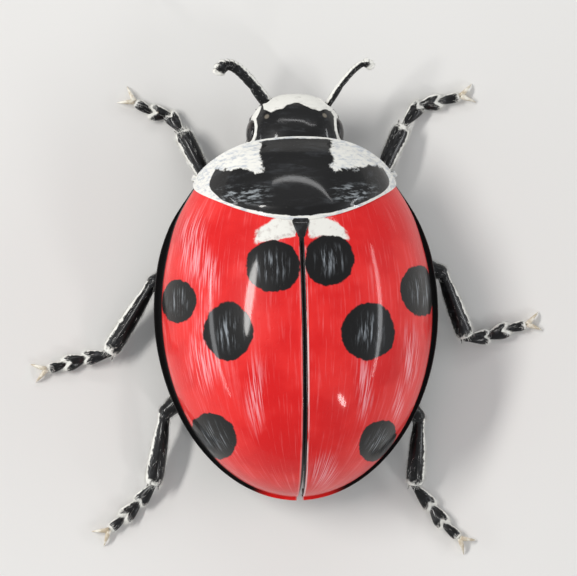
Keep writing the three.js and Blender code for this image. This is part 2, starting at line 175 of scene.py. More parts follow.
# Each black spot or painted highlight streak: x, y, half its width and half its length.
SPOTS = {
    -1: [(-0.57, 0.79, 0.52, 0.50), (-2.33, 0.15, 0.36, 0.41),
         (-1.43, -0.44, 0.47, 0.55), (-1.72, -2.48, 0.46, 0.48)],
    1: [(0.52, 0.88, 0.48, 0.49), (2.34, 0.25, 0.47, 0.50),
        (1.25, -0.50, 0.54, 0.55), (1.48, -2.63, 0.42, 0.44)],
}
# Painted highlights: streaks of light along the flanks of each wing case.
HIGHLIGHT_STREAKS = {
    -1: [(-2.05, 1.25, 0.3, 0.9), (-1.9, -0.8, 0.35, 0.9), (-1.8, 0.6, 0.3, 0.6), (-0.95, -1.7, 0.2, 0.9)],
    1: [(2.1, -1.0, 0.22, 0.8), (1.15, -1.6, 0.2, 0.75), (0.4, -3.2, 0.3, 0.5), (1.85, -1.9, 0.15, 0.6)],
}
SPOT_DEPTH = 0.3
SPOT_WANDER = 0.34
RIM_BLACK = {-1: (0.905, 0.93), 1: (0.935, 0.955)}
RIM_BLACK_TAIL = (-0.985, -0.94)
SEAM_BLACK = (0.055, 0.042)
# How strong the painted highlight line beside the seam is on each side.
SUTURE_HIGHLIGHT = {-1: 0.25, 1: 0.9}
# The pale patch at the root: how its rear and front edges slope and where they meet the seam.
PATCH_REAR = (-0.16, 1.37)
PATCH_FRONT = (-0.62, 2.0)
PATCH_OUTER = (0.92, 0.84)
PATCH_INNER = (0.10, 0.13)
PATCH_WANDER = 0.22
PATCH_EDGE = 0.03
# How finely a pattern is drawn across the case and along it.
STREAK_SCALE = (26, 1.5, 1)
HAIRLINE_SCALE = (95, 5, 1)
BRUSH_SCALE = (60, 6, 1)


def box_of(node_name):
    """The lowest and highest corners of a CAD node, in millimetres."""
    return [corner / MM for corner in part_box(node_name)]


case_low, case_high = box_of("wing_case_right")
HALF_WIDTH = case_high.x
HALF_LENGTH = BACK_MIDDLE_Y - case_low.y


def ease(value, low, high):
    """Runs smoothly from 0 at low to 1 at high."""
    share = min(1, max(0, (value - low) / (high - low)))
    return share * share * (3 - 2 * share)


def bell(value, middle, width):
    """A smooth hump: 1 in the middle, and almost nothing beyond twice the width."""
    return math.exp(-((value - middle) / width) ** 2)


def on_back(unit, width=HALF_WIDTH, length=HALF_LENGTH):
    """Carries a point of a unit ball to the egg-shaped back."""
    behind = max(0, -unit.y)
    rise = BACK_HEIGHT * (1 - BACK_LEAN * unit.y) * unit.z - TAIL_DROOP * behind * behind
    return Vector((width * unit.x, BACK_MIDDLE_Y + length * unit.y, RIM_HEIGHT + rise))


def back_height(x, y, width=HALF_WIDTH, length=HALF_LENGTH):
    """Height of the back above the floor at a place seen from above."""
    across = x / width
    along = (y - BACK_MIDDLE_Y) / length
    up = math.sqrt(max(0, 1 - across * across - along * along))
    return on_back(Vector((across, along, up)), width, length).z


def settle(name, bm, finish, slot, *nodes, crease=50):
    """Brings a shape from millimetres to metres and makes it a piece of the ladybird."""
    bmesh.ops.scale(bm, vec=(MM, MM, MM), verts=bm.verts)
    mesh = bpy.data.meshes.new(name)
    bm.to_mesh(mesh)
    bm.free()
    mesh.materials.append(finish)
    mesh.polygons.foreach_set("use_smooth", [True] * len(mesh.polygons))
    mesh.set_sharp_from_angle(angle=math.radians(crease))
    piece = bpy.data.objects.new(name, mesh)
    bpy.context.collection.objects.link(piece)
    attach(piece, "root")
    if nodes:
        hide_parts(*nodes)
    return piece


def face_outwards(bm):
    """Turns every face of a closed shape to the outside."""
    bmesh.ops.recalc_face_normals(bm, faces=bm.faces)
    if bm.calc_volume(signed=True) < 0:
        bmesh.ops.reverse_faces(bm, faces=bm.faces)


def face_along(bm, direction):
    """Turns every face of an open skin to the side that a direction points to."""
    bmesh.ops.recalc_face_normals(bm, faces=bm.faces)
    if sum(face.normal.dot(direction) for face in bm.faces) < 0:
        bmesh.ops.reverse_faces(bm, faces=bm.faces)


def thicken(bm, wall, share=None):
    """Gives an open skin its wall: a second skin set inwards and marked as inside.

    The wall has the same depth at every corner, or the share of it that share(corner) gives.
    """
    bm.normal_update()
    inside = bm.verts.layers.float.new("inside")
    inwards = bm.verts.layers.float_vector.new("inwards")
    for vert in bm.verts:
        vert[inwards] = vert.normal * -wall * (1 if share is None else share(vert))
    made = bmesh.ops.extrude_face_region(bm, geom=bm.faces[:], use_keep_orig=True)["geom"]
    for part in made:
        if isinstance(part, bmesh.types.BMVert):
            part.co += part[inwards]
            part[inside] = 1
    bm.verts.layers.float_vector.remove(inwards)
    face_outwards(bm)


def cut_away(bm, point, outwards):
    """Cuts off what lies outwards of a plane through a point, and gives the edge of the cut."""
    whole = bm.verts[:] + bm.edges[:] + bm.faces[:]
    cut = bmesh.ops.bisect_plane(
        bm, geom=whole, dist=1e-5, plane_co=point, plane_no=outwards, clear_outer=True,
    )
    return [part for part in cut["geom_cut"] if isinstance(part, bmesh.types.BMEdge)]


def fold_size(y):
    """How much of its full size the folded flange has: less at the tail, and none in front."""
    return (0.55 + 0.45 * ease(y, -HALF_LENGTH, 0)) * (1 - 0.94 * ease(y, 0.9, 2.35))


def fold_edge(bm, rim, moves):
    """Draws a run of edges out in steps. Each step gives how far outwards and how far up."""
    for outward, upward in moves:
        made = bmesh.ops.extrude_edge_only(bm, edges=rim)["geom"]
        fresh = {part for part in made if isinstance(part, bmesh.types.BMVert)}
        rim = [part for part in made if isinstance(part, bmesh.types.BMEdge) and fresh.issuperset(part.verts)]
        for vert in fresh:
            away = Vector((vert.co.x / HALF_WIDTH ** 2, (vert.co.y - BACK_MIDDLE_Y) / HALF_LENGTH ** 2, 0))
            size = fold_size(vert.co.y)
            vert.co += away.normalized() * outward * size + Vector((0, 0, upward * size))


def wing_case(side):
    """One wing case: a quarter of a ball drawn out to the back, with its flange folded under."""
    bm = bmesh.new()
    bmesh.ops.create_uvsphere(bm, u_segments=4 * CASE_COLUMNS, v_segments=CASE_ROWS, radius=1)
    bmesh.ops.rotate(bm, verts=bm.verts, matrix=Matrix.Rotation(math.radians(-90), 3, "X"))
    cut_away(bm, (0, 0, 0), (0, 0, -1))
    cut_away(bm, (0, 0, 0), (-side, 0, 0))
    flow = bm.verts.layers.float_vector.new("flow")
    dome_width = HALF_WIDTH - FLANGE
    dome_length = HALF_LENGTH - 0.6 * FLANGE
    for vert in bm.verts:
        turn = math.atan2(abs(vert.co.x), vert.co.z) / (math.pi / 2)
        turn -= CROWDING * math.sin(2 * math.pi * turn) / (2 * math.pi)
        reach = math.hypot(vert.co.x, vert.co.z)
        angle = turn * math.pi / 2
        unit = Vector((side * math.sin(angle) * reach, vert.co.y, math.cos(angle) * reach))
        vert[flow] = Vector((turn, vert.co.y, side))
        vert.co = on_back(unit, dome_width, dome_length)
        shoulder = math.exp(-((abs(vert.co.x) - SHOULDER_X) ** 2 + (vert.co.y - SHOULDER_Y) ** 2) / 0.16)
        vert.co.x += side * SHOULDER_SWELL * shoulder
        vert.co.z += FRONT_LIFT * ease(vert.co.y, 1.5, 2.42) * turn ** 6
        from_suture = abs(vert.co.x)
        vert.co.z += SUTURE_BEAD * bell(from_suture, 0.05, 0.03) - SUTURE_DIP * bell(from_suture, 0, 0.03)
        gap = SUTURE_GAP + TAIL_GAP * ease(-vert.co.y, 3.1, 3.7) ** 2
        vert.co.x = side * max(from_suture, gap / 2)
    inner, outer = CASE_BASE
    cut_away(bm, inner, Vector((-side * (outer.y - inner.y), outer.x - inner.x, 0)))
    rim = [edge for edge in bm.edges if edge.is_boundary and all(vert[flow].x > 0.999 for vert in edge.verts)]
    half = FLANGE / 2
    fold_edge(bm, rim, [
        (half * 0.9, 0.004), (half * 0.5, 0.016), (half * 0.4, 0.004), (half * 0.2, -0.022),
        (-half * 0.2, -0.026), (-half * 0.8, -0.014), (-0.12, 0.0), (-0.14, 0.012), (-0.1, 0.03),
    ])
    face_along(bm, Vector((0, 0, 1)))
    thicken(bm, CASE_WALL, lambda vert: 1 - (1 - 0.4 * fold_size(vert.co.y)) * ease(vert[flow].x, 0.9, 1))
    return bm


class Pattern:
    """What a finish works out all over a skin: a value, a place or a colour, and sums on it."""

    def __init__(self, socket):
        self.socket = socket

    def __add__(self, other):
        return sums("ADD", self, other)

    def __sub__(self, other):
        return sums("SUBTRACT", self, other)

    def __mul__(self, other):
        return sums("MULTIPLY", self, other)

    def __abs__(self):
        return sums("ABSOLUTE", self, 0.0)

    def ramp(self, start, end):
        """Runs smoothly from 0 where this is start to 1 where it is end."""
        limits = {"Value": self, "From Min": start, "From Max": end}
        return work("MapRange", "Result", limits, interpolation_type="SMOOTHSTEP")

    def spread(self, low, high):
        """Stretches a share from 0 to 1 over another range."""
        return work("MapRange", "Result", {"Value": self, "To Min": low, "To Max": high})


def work(kind, output, sockets, **settings):
    """Adds a shader node that reads patterns and plain values, and gives one of its outputs."""
    tree = next(value.socket.id_data for value in sockets.values() if isinstance(value, Pattern))
    made = tree.nodes.new("ShaderNode" + kind)
    for name, value in settings.items():
        setattr(made, name, value)
    for name, value in sockets.items():
        if isinstance(value, Pattern):
            tree.links.new(value.socket, made.inputs[name])
        else:
            made.inputs[name].default_value = value
    return Pattern(made.outputs[output])


def sums(operation, first, second):
    """One sum on two values."""
    return work("Math", 0, {0: first, 1: second}, operation=operation)


def place_sums(operation, first, second=(0, 0, 0), output="Vector"):
    """One sum on two places. The output is a new place, or the value of a length."""
    return work("VectorMath", output, {0: first, 1: second}, operation=operation)


def split(place):
    """A place as its three values."""
    return [Pattern(socket) for socket in work("SeparateXYZ", 0, {0: place}).socket.node.outputs]


def marked(place, name, output="Vector"):
    """What the corners of the piece are marked with under a name."""
    mark = place.socket.id_data.nodes.new("ShaderNodeAttribute")
    mark.attribute_name = name
    return Pattern(mark.outputs[output])


def stretched(place, scale):
    """A place drawn out by a scale for each direction."""
    return work("Mapping", "Vector", {"Vector": place, "Scale": scale})


def cloudy(place, scale, detail, roughness=0.5, distortion=0.0):
    """Cloudy noise from about 0.3 to 0.7. Its clouds are smaller the larger the scale is."""
    return work("TexNoise", "Fac", {
        "Vector": place, "Scale": scale, "Detail": detail, "Roughness": roughness, "Distortion": distortion,
    })


def strokes(place, scale, detail, roughness=0.5, distortion=0.0):
    """Cloudy noise drawn out into strokes by a scale for each direction."""
    return cloudy(stretched(place, scale), 1.0, detail, roughness, distortion)


def blend(share, under, over):
    """Lays one colour over another by a share from 0 to 1."""
    return work("Mix", 2, {0: share, 6: under, 7: over}, data_type="RGBA")


def bump(height, strength, depth, under=None):
    """Raises the skin by a pattern, up to a depth in millimetres, over the relief under it."""
    sockets = {"Height": height, "Strength": strength, "Distance": depth * MM}
    if under is not None:
        sockets["Normal"] = under
    return work("Bump", "Normal", sockets)


def pits(place, per_mm, size, depth, under=None):
    """Fine round pits pressed into the skin."""
    cells = work("TexVoronoi", "Distance", {"Vector": place, "Scale": per_mm, "Randomness": 0.9})
    return bump(cells.ramp(0.0, size), 1.0, depth, under)


def new_finish(name, gloss, coat, coat_roughness, shine=0.25):
    """A material with its clear gloss, and the place on the piece in millimetres."""
    finish = bpy.data.materials.new(name)
    finish.use_nodes = True
    shader = finish.node_tree.nodes["Principled BSDF"]
    shader.inputs["Roughness"].default_value = gloss
    shader.inputs["Coat Weight"].default_value = coat
    shader.inputs["Coat Roughness"].default_value = coat_roughness
    shader.inputs["Coat IOR"].default_value = COAT_IOR
    shader.inputs["Specular IOR Level"].default_value = shine
    where = Pattern(finish.node_tree.nodes.new("ShaderNodeTexCoord").outputs["Object"])
    return finish, stretched(where, (1 / MM, 1 / MM, 1 / MM))


def dressed(finish, colour, relief=None, roughness=None):
    """Gives a material its patterns and hands it back."""
    shader = finish.node_tree.nodes["Principled BSDF"]
    for socket, pattern in (("Base Color", colour), ("Normal", relief), ("Roughness", roughness)):
        if pattern is not None:
            finish.node_tree.links.new(pattern.socket, shader.inputs[socket])
    return finish


def spot_distance(place, spots):
    """How far a place is from the nearest round mark, whose slightly uneven edge is at 1."""
    nearest = None
    for x, y, half_width, half_length in spots:
        centre = Vector((x, y, back_height(x, y, HALF_WIDTH - FLANGE)))
        stretch = Vector((1 / half_width, 1 / half_length, SPOT_DEPTH / half_width))
        away = place_sums("DISTANCE", place_sums("MULTIPLY", place, stretch), centre * stretch, "Value")
        nearest = away if nearest is None else sums("MINIMUM", nearest, away)
    return (cloudy(place, 3.2, 3.0, 0.6) - 0.5) * SPOT_WANDER + nearest


def red_shell(name, side):
    """Glossy red with long pale streaks, black marks, a black outer edge and painted highlights."""
    finish, place = new_finish(name, 0.42, 0.48, 0.08, 0.12)
    flow = marked(place, "flow")
    turn, along, _ = split(flow)
    x, y, _ = split(place)
    from_middle = abs(x)
    streaks = strokes(flow, STREAK_SCALE, 5.0, 0.62, 0.35)
    hairlines = strokes(flow, HAIRLINE_SCALE, 3.0)
    clouds = cloudy(place, 0.9, 3.0, 0.55)
    body = blend(clouds.ramp(0.35, 0.65), DEEP_RED, RED)
    body = blend(streaks.ramp(0.50, 0.76) * clouds.ramp(0.40, 0.62) * 0.55, body, PINK)
    body = blend(hairlines.ramp(0.55, 0.80) * 0.35, body, PINK)
    # Painted highlights: pale pink streaks where light falls along the flanks.
    for streak in HIGHLIGHT_STREAKS[side]:
        streak_highlight = spot_distance(place, [streak]).ramp(1.2, 0.2) * hairlines.ramp(0.44, 0.62)
        body = blend(streak_highlight * 0.75, body, HIGHLIGHT_PINK)
    wander = cloudy(place, 6.0, 4.0, 0.6)
    stray = (wander - 0.5) * PATCH_WANDER
    out = from_middle + stray
    above_rear = (y + stray - (out * PATCH_REAR[0] + PATCH_REAR[1])).ramp(-PATCH_EDGE, PATCH_EDGE)
    below_front = (y - (out * PATCH_FRONT[0] + PATCH_FRONT[1])).ramp(PATCH_EDGE, -PATCH_EDGE)
    beside_seam = out.ramp(*PATCH_OUTER) * out.ramp(*PATCH_INNER)
    chalk = blend(wander.ramp(0.5, 0.7), CREAM, CREAM_SHADE)
    body = blend(above_rear * below_front * beside_seam, body, chalk)
    # Painted highlight: a broken pale line of light beside the seam.
    suture_highlight = from_middle.ramp(0.085, 0.07) * y.ramp(1.2, 1.1) * hairlines.ramp(0.36, 0.52)
    body = blend(suture_highlight * SUTURE_HIGHLIGHT[side], body, SUTURE_HIGHLIGHT_PINK)
    from_spot = spot_distance(place, SPOTS[side])
    rim = turn.ramp(*RIM_BLACK[side]) * along.ramp(*RIM_BLACK_TAIL)
    dark = sums("MAXIMUM", from_spot.ramp(1.03, 0.97), rim)
    dark = sums("MAXIMUM", dark, from_middle.ramp(*SEAM_BLACK))
    brushed = strokes(flow, BRUSH_SCALE, 4.0, 0.6)
    # Painted highlight: brushed grey strokes of light towards the middle of each spot.
    painted_highlight = from_spot.ramp(0.8, 0.15) * brushed.ramp(0.48, 0.70) * 0.8
    colour = blend(dark, body, blend(painted_highlight, SHELL_BLACK, SPOT_HIGHLIGHT_GREY))
    colour = blend(marked(place, "inside", "Fac").ramp(0.3, 0.7), colour, LINING)
    swell = bump(streaks, 0.5, 0.004)
    return dressed(finish, colour, pits(place, 13.0, 0.32, 0.0035, swell), clouds.spread(0.34, 0.5))


for name, side in SIDES.items():
    shell = red_shell(f"red_shell_{name}", side)
    settle(f"{name}_wing_case", wing_case(side), shell, "red_shell", f"wing_case_{name}")

# Shield: the broad plate over the front of the thorax, one piece of polished black chitin that
# hangs over the roots of the wing cases behind and over the head in front. Its front corners
# and its edges are pale, and a fine bead runs along its sides.
SHIELD_HALF_WIDTH = 2.5
SHIELD_HALF_LENGTH = 4.1
SHIELD_WALL = 0.07
SHIELD_SIDES = 224
SHIELD_RINGS = 64
SHIELD_RING_CROWDING = 1.35
SHIELD_MIDDLE = Vector((0, 2.42))
SHIELD_STEEPEST = 0.985
SHIELD_PARTS = (0.40, 0.60)
SHIELD_REAR_DROP = 0.075
SHIELD_FRONT_DROP = 0.17
SHIELD_GROOVE = 0.03
SHIELD_BEAD = 0.012
SHIELD_DIMPLE = (0.95, 2.35, 0.03)
shield_low, shield_high = box_of("shield")
SHIELD_OUTLINE = [
    (0, shield_low.y), (0.58, 1.725), (1.12, 1.875), (1.58, 2.07), (1.86, 2.215), (1.955, 2.32), (1.94, 2.46),
    (1.84, 2.62), (1.62, 2.83), (1.30, 3.03), (0.95, 3.165), (0.50, 3.245), (0, shield_high.y),
]
# Grey streaks on black chitin: partly its own mottle, partly painted sheen.
MOTTLE_AND_SHEEN_GREY = (0.034, 0.036, 0.040, 1)
# Painted highlight: the grey of brushed strokes of light on the rear of the shield.
SHIELD_HIGHLIGHT_GREY = (0.34, 0.37, 0.39, 1)
IVORY_SHADE = (0.50, 0.53, 0.57, 1)
BLACK_SHINE = 0.15
# The pale front corners: their inner side, and the height and slope of their rear edge.
CORNER_INNER = (0.66, 0.72)
CORNER_REAR = (0.10, 2.50)
# The pale line round the edge: how wide it is, and how much wider near the corners.
EDGE_LINE = 0.075
EDGE_LINE_SIDE = 0.02
EDGE_LINE_LEFT = 0.20
EDGE_LINE_RIGHT = 0.06
EDGE_LINE_FRONT = -0.035


def through(points, count):
    """A smooth run of count places through a few points, at even steps between them."""
    run = [points[0] * 2 - points[1], *points, points[-1] * 2 - points[-2]]
    made = []
    for step in range(count):
        at = step / (count - 1) * (len(points) - 1)
        first = min(int(at), len(points) - 2)
        t = at - first
        a, b, c, d = run[first:first + 4]
        made.append(0.5 * (2 * b + (c - a) * t + (2 * a - 5 * b + 4 * c - d) * t * t
                           + (3 * b - a - 3 * c + d) * t ** 3))
    return made


def cut_lengthwise(bm, cuts):
    """Divides the edges that run from the foot to the head of a shape one unit high."""
    lengthwise = [edge for edge in bm.edges if abs(edge.verts[0].co.z - edge.verts[1].co.z) > 0.5]
    bmesh.ops.subdivide_edges(bm, edges=lengthwise, cuts=cuts, use_grid_fill=True)


def round_corners(bm, sharpest, size, segments):
    """Rounds the edges where the skin turns by more than an angle in degrees."""
    bm.normal_update()
    limit = math.radians(sharpest)
    corners = [edge for edge in bm.edges if len(edge.link_faces) == 2 and edge.calc_face_angle() > limit]
    bmesh.ops.bevel(
        bm, geom=corners, affect="EDGES", offset=size, offset_type="OFFSET",
        segments=segments, profile=0.5, material=-1, clamp_overlap=True,
    )


def shield():
    """The shield: a fan of rings drawn to the outline, domed, given its wall and rounded edges."""
    bm = bmesh.new()
    bmesh.ops.create_cone(bm, cap_ends=False, segments=SHIELD_SIDES, radius1=1, radius2=0, depth=1)
    bmesh.ops.remove_doubles(bm, verts=bm.verts, dist=1e-5)
    cut_lengthwise(bm, SHIELD_RINGS)
    plate = bm.verts.layers.float_vector.new("plate")
    half = [Vector(point) for point in SHIELD_OUTLINE]
    half = [Vector((-half[1].x, half[1].y)), *half, Vector((-half[-2].x, half[-2].y))]
    run = through(half, 20 * (len(half) - 1) + 1)[20:-20]
    for vert in bm.verts:
        turn = math.atan2(vert.co.x, -vert.co.y) / math.pi
        at = abs(turn) * (len(run) - 1)
        first = min(int(at), len(run) - 2)
        rim = run[first].lerp(run[first + 1], at - first)
        rim.x = rim.x if turn >= 0 else -rim.x
        reach = 1 - max(0, 1 - math.hypot(vert.co.x, vert.co.y)) ** SHIELD_RING_CROWDING
        place = SHIELD_MIDDLE.lerp(rim, reach)
        across = place.x / SHIELD_HALF_WIDTH
        along = (place.y - BACK_MIDDLE_Y) / SHIELD_HALF_LENGTH
        full = across * across + along * along
        if full > SHIELD_STEEPEST:
            place.x *= math.sqrt(SHIELD_STEEPEST / full)
            place.y = BACK_MIDDLE_Y + (place.y - BACK_MIDDLE_Y) * math.sqrt(SHIELD_STEEPEST / full)
        z = back_height(place.x, place.y, SHIELD_HALF_WIDTH, SHIELD_HALF_LENGTH)
        from_edge = (1 - reach) * (rim - SHIELD_MIDDLE).length
        rear = 1 - ease(abs(turn), 0.3, SHIELD_PARTS[0])
        front = ease(abs(turn), SHIELD_PARTS[1], 1.0)
        side = 1 - rear - front
        rear_drop = SHIELD_REAR_DROP * rear * (1 - ease(from_edge, 0.0, 0.28))
        z -= rear_drop + SHIELD_FRONT_DROP * front * (1 - ease(from_edge, 0, 0.5)) ** 2
        z -= side * (SHIELD_GROOVE * bell(from_edge, 0.13, 0.05) - SHIELD_BEAD * bell(from_edge, 0, 0.04))
        dimple_x, dimple_y, dimple_depth = SHIELD_DIMPLE
        z -= dimple_depth * math.exp(-((abs(place.x) - dimple_x) / 0.3) ** 2
                                     - ((place.y - dimple_y) / 0.3) ** 2)
        vert[plate] = Vector((from_edge, abs(turn), 0))
        vert.co = Vector((place.x, place.y, z))
    face_along(bm, Vector((0, 0, 1)))
    thicken(bm, SHIELD_WALL)
    round_corners(bm, 60, 0.02, 3)
    return bm


def black_mottle_and_sheen(place, body, scale):
    """Black chitin's faint warm and cool mottle, partly painted grey sheen, its roughness, its ripples and
    their noise.
    """
    grain = strokes(place, scale, 5.0, 0.6, 0.3)
    # Grey streaks: partly the chitin's own mottle, partly painted sheen.
    mottle = blend(grain.ramp(0.5, 0.78), body, MOTTLE_AND_SHEEN_GREY)
    return mottle, grain.spread(0.26, 0.5), bump(grain, 0.6, 0.008), grain


def shield_shell():
    """Black with painted brushed grey highlights, cream front corners and a cream line round the edge."""
    finish, place = new_finish("shield_shell", 0.36, 0.6, 0.07, BLACK_SHINE)
    mottle, rough, ripple, _ = black_mottle_and_sheen(place, SHELL_BLACK, (1.6, 7, 5))
    from_edge, turn, _ = split(marked(place, "plate"))
    x, y, _ = split(place)
    out = abs(x)
    ragged = cloudy(place, 4.5, 4.0, 0.65)
    stray = (ragged - 0.5) * 0.40
    above_rear = (y + stray - (out * CORNER_REAR[0] + CORNER_REAR[1])).ramp(0.0, 0.05)
    corner = (out + stray).ramp(*CORNER_INNER) * above_rear
    width = turn.ramp(0.22, 0.44) * turn.ramp(0.9, 0.6) * EDGE_LINE_SIDE + EDGE_LINE
    beside_corner = y.ramp(2.0, 2.25)
    width = x.ramp(-1.30, -1.75) * beside_corner * EDGE_LINE_LEFT + width
    width = x.ramp(1.50, 1.80) * beside_corner * EDGE_LINE_RIGHT + width
    width = turn.ramp(0.80, 0.90) * EDGE_LINE_FRONT + width
    line = (ragged * 0.07 + from_edge - width).ramp(0.042, 0.026)
    streak = strokes(place, (3.0, 17, 8), 5.0, 0.65)
    ivory = blend(streak.ramp(0.34, 0.56), IVORY_SHADE, CREAM)
    # Painted highlight: brushed grey strokes either side of the middle, towards the rear of the shield.
    painted_highlight = abs(out - 1.05).ramp(0.62, 0.15) * abs(y - 2.16).ramp(0.24, 0.05) * streak.ramp(0.48, 0.64)
    mottle = blend(painted_highlight * 0.85, mottle, SHIELD_HIGHLIGHT_GREY)
    colour = blend(sums("MAXIMUM", corner, line), mottle, ivory)
    return dressed(finish, colour, pits(place, 15.0, 0.3, 0.004, ripple), rough)


settle("shield_plate", shield(), shield_shell(), "black_shell", "shield")

# Scutellum: the small black triangle that shows between the roots of the wing cases. It is the
# top of the middle thorax, set level with them, and its point ends where they begin to meet.
SCUTELLUM_WALL = 0.08
SCUTELLUM_HALF_WIDTH = 0.19
SCUTELLUM_RISE = 0.035
SCUTELLUM_EDGE_DROP = 0.075
SCUTELLUM_ROOT_DROP = 0.06
scutellum_low, scutellum_high = box_of("scutellum")


def scutellum():
    """The scutellum: a square skin squeezed to a triangle, with its edges turned down."""
    bm = bmesh.new()
    bmesh.ops.create_grid(bm, x_segments=24, y_segments=24, size=1)
    rear = scutellum_low.y - 0.03
    front = scutellum_high.y + 0.25
    for vert in bm.verts:
        along = (vert.co.y + 1) / 2
        y = rear + (front - rear) * along
        half = SCUTELLUM_HALF_WIDTH * min(1, 0.06 + (y - rear) / (scutellum_high.y - rear)) ** 0.85
        x = vert.co.x * half
        z = back_height(x, y, HALF_WIDTH - FLANGE) + SCUTELLUM_RISE
        z -= SCUTELLUM_EDGE_DROP * ease(max(abs(vert.co.x), 1 - along), 0.7, 1)
        z -= SCUTELLUM_ROOT_DROP * ease(y, 1.6, 1.8)
        vert.co = Vector((x, y, z))
    face_along(bm, Vector((0, 0, 1)))
    thicken(bm, SCUTELLUM_WALL)
    return bm


def scutellum_shell():
    """Black chitin, its grey mottle partly painted sheen."""
    finish, place = new_finish("scutellum_shell", 0.36, 0.7, 0.1, BLACK_SHINE)
    mottle, rough, ripple, _ = black_mottle_and_sheen(place, SHELL_BLACK, (7, 7, 7))
    return dressed(finish, mottle, pits(place, 16.0, 0.3, 0.004, ripple), rough)


settle("scutellum_plate", scutellum(), scutellum_shell(), "black_shell", "scutellum")

# Head: a short, wide capsule of black chitin that fits under the front of the shield, with a
# socket for each eye and each feeler. Pale ridges run above the eyes to the pale front.
HEAD_CENTRE = Vector((0.03, 3.17, 1.24))
HEAD_RADII = Vector((0.94, 0.93, 0.70))
HEAD_TILT = Matrix.Rotation(math.radians(-14), 3, "X")
HEAD_FULLNESS = 2.3
EYE_CENTRE = Vector((0.815, 3.34, 1.27))
EYE_RADII = Vector((0.13, 0.28, 0.27))
EYE_SOCKET = 0.05
EYE_SOCKET_RIM = 0.022
MOUTH_ROOF = -0.16
MOUTH_ROOF_DEEPER = 0.1
FEELER_ROOTS = [Vector((-0.46, 3.86, 1.22)), Vector((0.64, 3.84, 1.22))]
FEELER_SOCKET = 0.09
FEELER_SOCKET_RIM = 0.018
DIMPLE_X = 0.3
DIMPLE_Y = 3.58
DIMPLE_DEPTH = 0.014
CHEEK_LINE = Vector((0.76, 3.70, 1.34))
CHEEK_TURN = math.radians(27)
CHEEK_SIZE = (0.05, 0.24, 0.2)
BROW_MARK = Vector((0.55, 3.66, 1.62))
BROW_YELLOW = (0.17, 0.15, 0.12, 1)


def squared(x, y, fullness):
    """How many times further out a squarish outline runs than a round one, towards x and y."""
    plan = (abs(x) ** fullness + abs(y) ** fullness) ** (1 / fullness)
    return math.hypot(x, y) / plan if plan > 0 else 1


def from_eye(place):
    """How far a place is from the nearer eye, where 1 is the surface of the eye."""
    gap = Vector((abs(place.x - HEAD_CENTRE.x), place.y, place.z)) - EYE_CENTRE
    return Vector((gap.x / EYE_RADII.x, gap.y / EYE_RADII.y, gap.z / EYE_RADII.z)).length


def head_place(unit, grow=0.0):
    """Carries a point of a unit ball to the surface of the head."""
    full = squared(unit.x, unit.y, HEAD_FULLNESS)
    radii = HEAD_RADII + Vector((grow, grow, grow))
    local = Vector((radii.x * unit.x * full, radii.y * unit.y * full, radii.z * unit.z))
    mouth = ease(local.y, -0.05, 0.25) * ease(0.85 - abs(local.x), 0, 0.12)
    roof = MOUTH_ROOF - MOUTH_ROOF_DEEPER * (1 - mouth)
    if mouth > 0 and local.z < roof:
        local.z += (roof - local.z) * 0.9 * mouth
    place = HEAD_CENTRE + HEAD_TILT @ local
    inwards = (HEAD_CENTRE - place).normalized()
    for root in FEELER_ROOTS:
        gap = (place - root).length
        place += inwards * (FEELER_SOCKET * (1 - ease(gap, 0.08, 0.17))
                            - FEELER_SOCKET_RIM * bell(gap, 0.19, 0.03))
    eye = from_eye(place)
    place += inwards * (EYE_SOCKET * (1 - ease(eye, 0.95, 1.1)) - EYE_SOCKET_RIM * bell(eye, 1.22, 0.09))
    for dimple_x in (-DIMPLE_X, DIMPLE_X):
        gap = math.hypot(place.x - HEAD_CENTRE.x - dimple_x, place.y - DIMPLE_Y)
        if place.z > HEAD_CENTRE.z:
            place.z -= DIMPLE_DEPTH * bell(gap, 0, 0.17)
    return place


def head_capsule():
    """The head: a ball shaped with sockets, dimples and a roofed-over mouth."""
    bm = bmesh.new()
    bmesh.ops.create_uvsphere(bm, u_segments=120, v_segments=96, radius=1)
    for vert in bm.verts:
        vert.co = head_place(vert.co.copy())
    return bm


def head_shell():
    """Black with a cream ridge above each eye and two faint yellow marks between them."""
    finish, place = new_finish("head_shell", 0.36, 0.7, 0.1, BLACK_SHINE)
    mottle, rough, ripple, _ = black_mottle_and_sheen(place, SHELL_BLACK, (3, 9, 6))
    folded = place_sums("ABSOLUTE", place_sums("SUBTRACT", place, Vector((HEAD_CENTRE.x, 0, 0))))
    shrink = Vector((1 / EYE_RADII.x, 1 / EYE_RADII.y, 1 / EYE_RADII.z))
    from_centre = place_sums("MULTIPLY", place_sums("SUBTRACT", folded, EYE_CENTRE), shrink)
    uneven = cloudy(place, 7.0, 4.0, 0.6) * 0.3 + place_sums("LENGTH", from_centre, output="Value")
    height = split(place)[2]
    above_eye = height.ramp(EYE_CENTRE.z - 0.05, EYE_CENTRE.z + 0.06)
    ridge = uneven.ramp(1.18, 1.26) * uneven.ramp(1.60, 1.50) * above_eye
    cheek = work("Mapping", "Vector", {
        "Vector": folded, "Location": CHEEK_LINE, "Rotation": (0, 0, CHEEK_TURN), "Scale": CHEEK_SIZE,
    }, vector_type="TEXTURE")
    ridge = sums("MAXIMUM", ridge, place_sums("LENGTH", cheek, output="Value").ramp(1.1, 0.9))
    from_mark = place_sums("DISTANCE", folded, BROW_MARK, "Value")
    body = blend(from_mark.ramp(0.065, 0.035), mottle, BROW_YELLOW)
    return dressed(finish, blend(ridge, body, CREAM), pits(place, 17.0, 0.3, 0.004, ripple), rough)


settle("head_capsule", head_capsule(), head_shell(), "black_shell", "head")

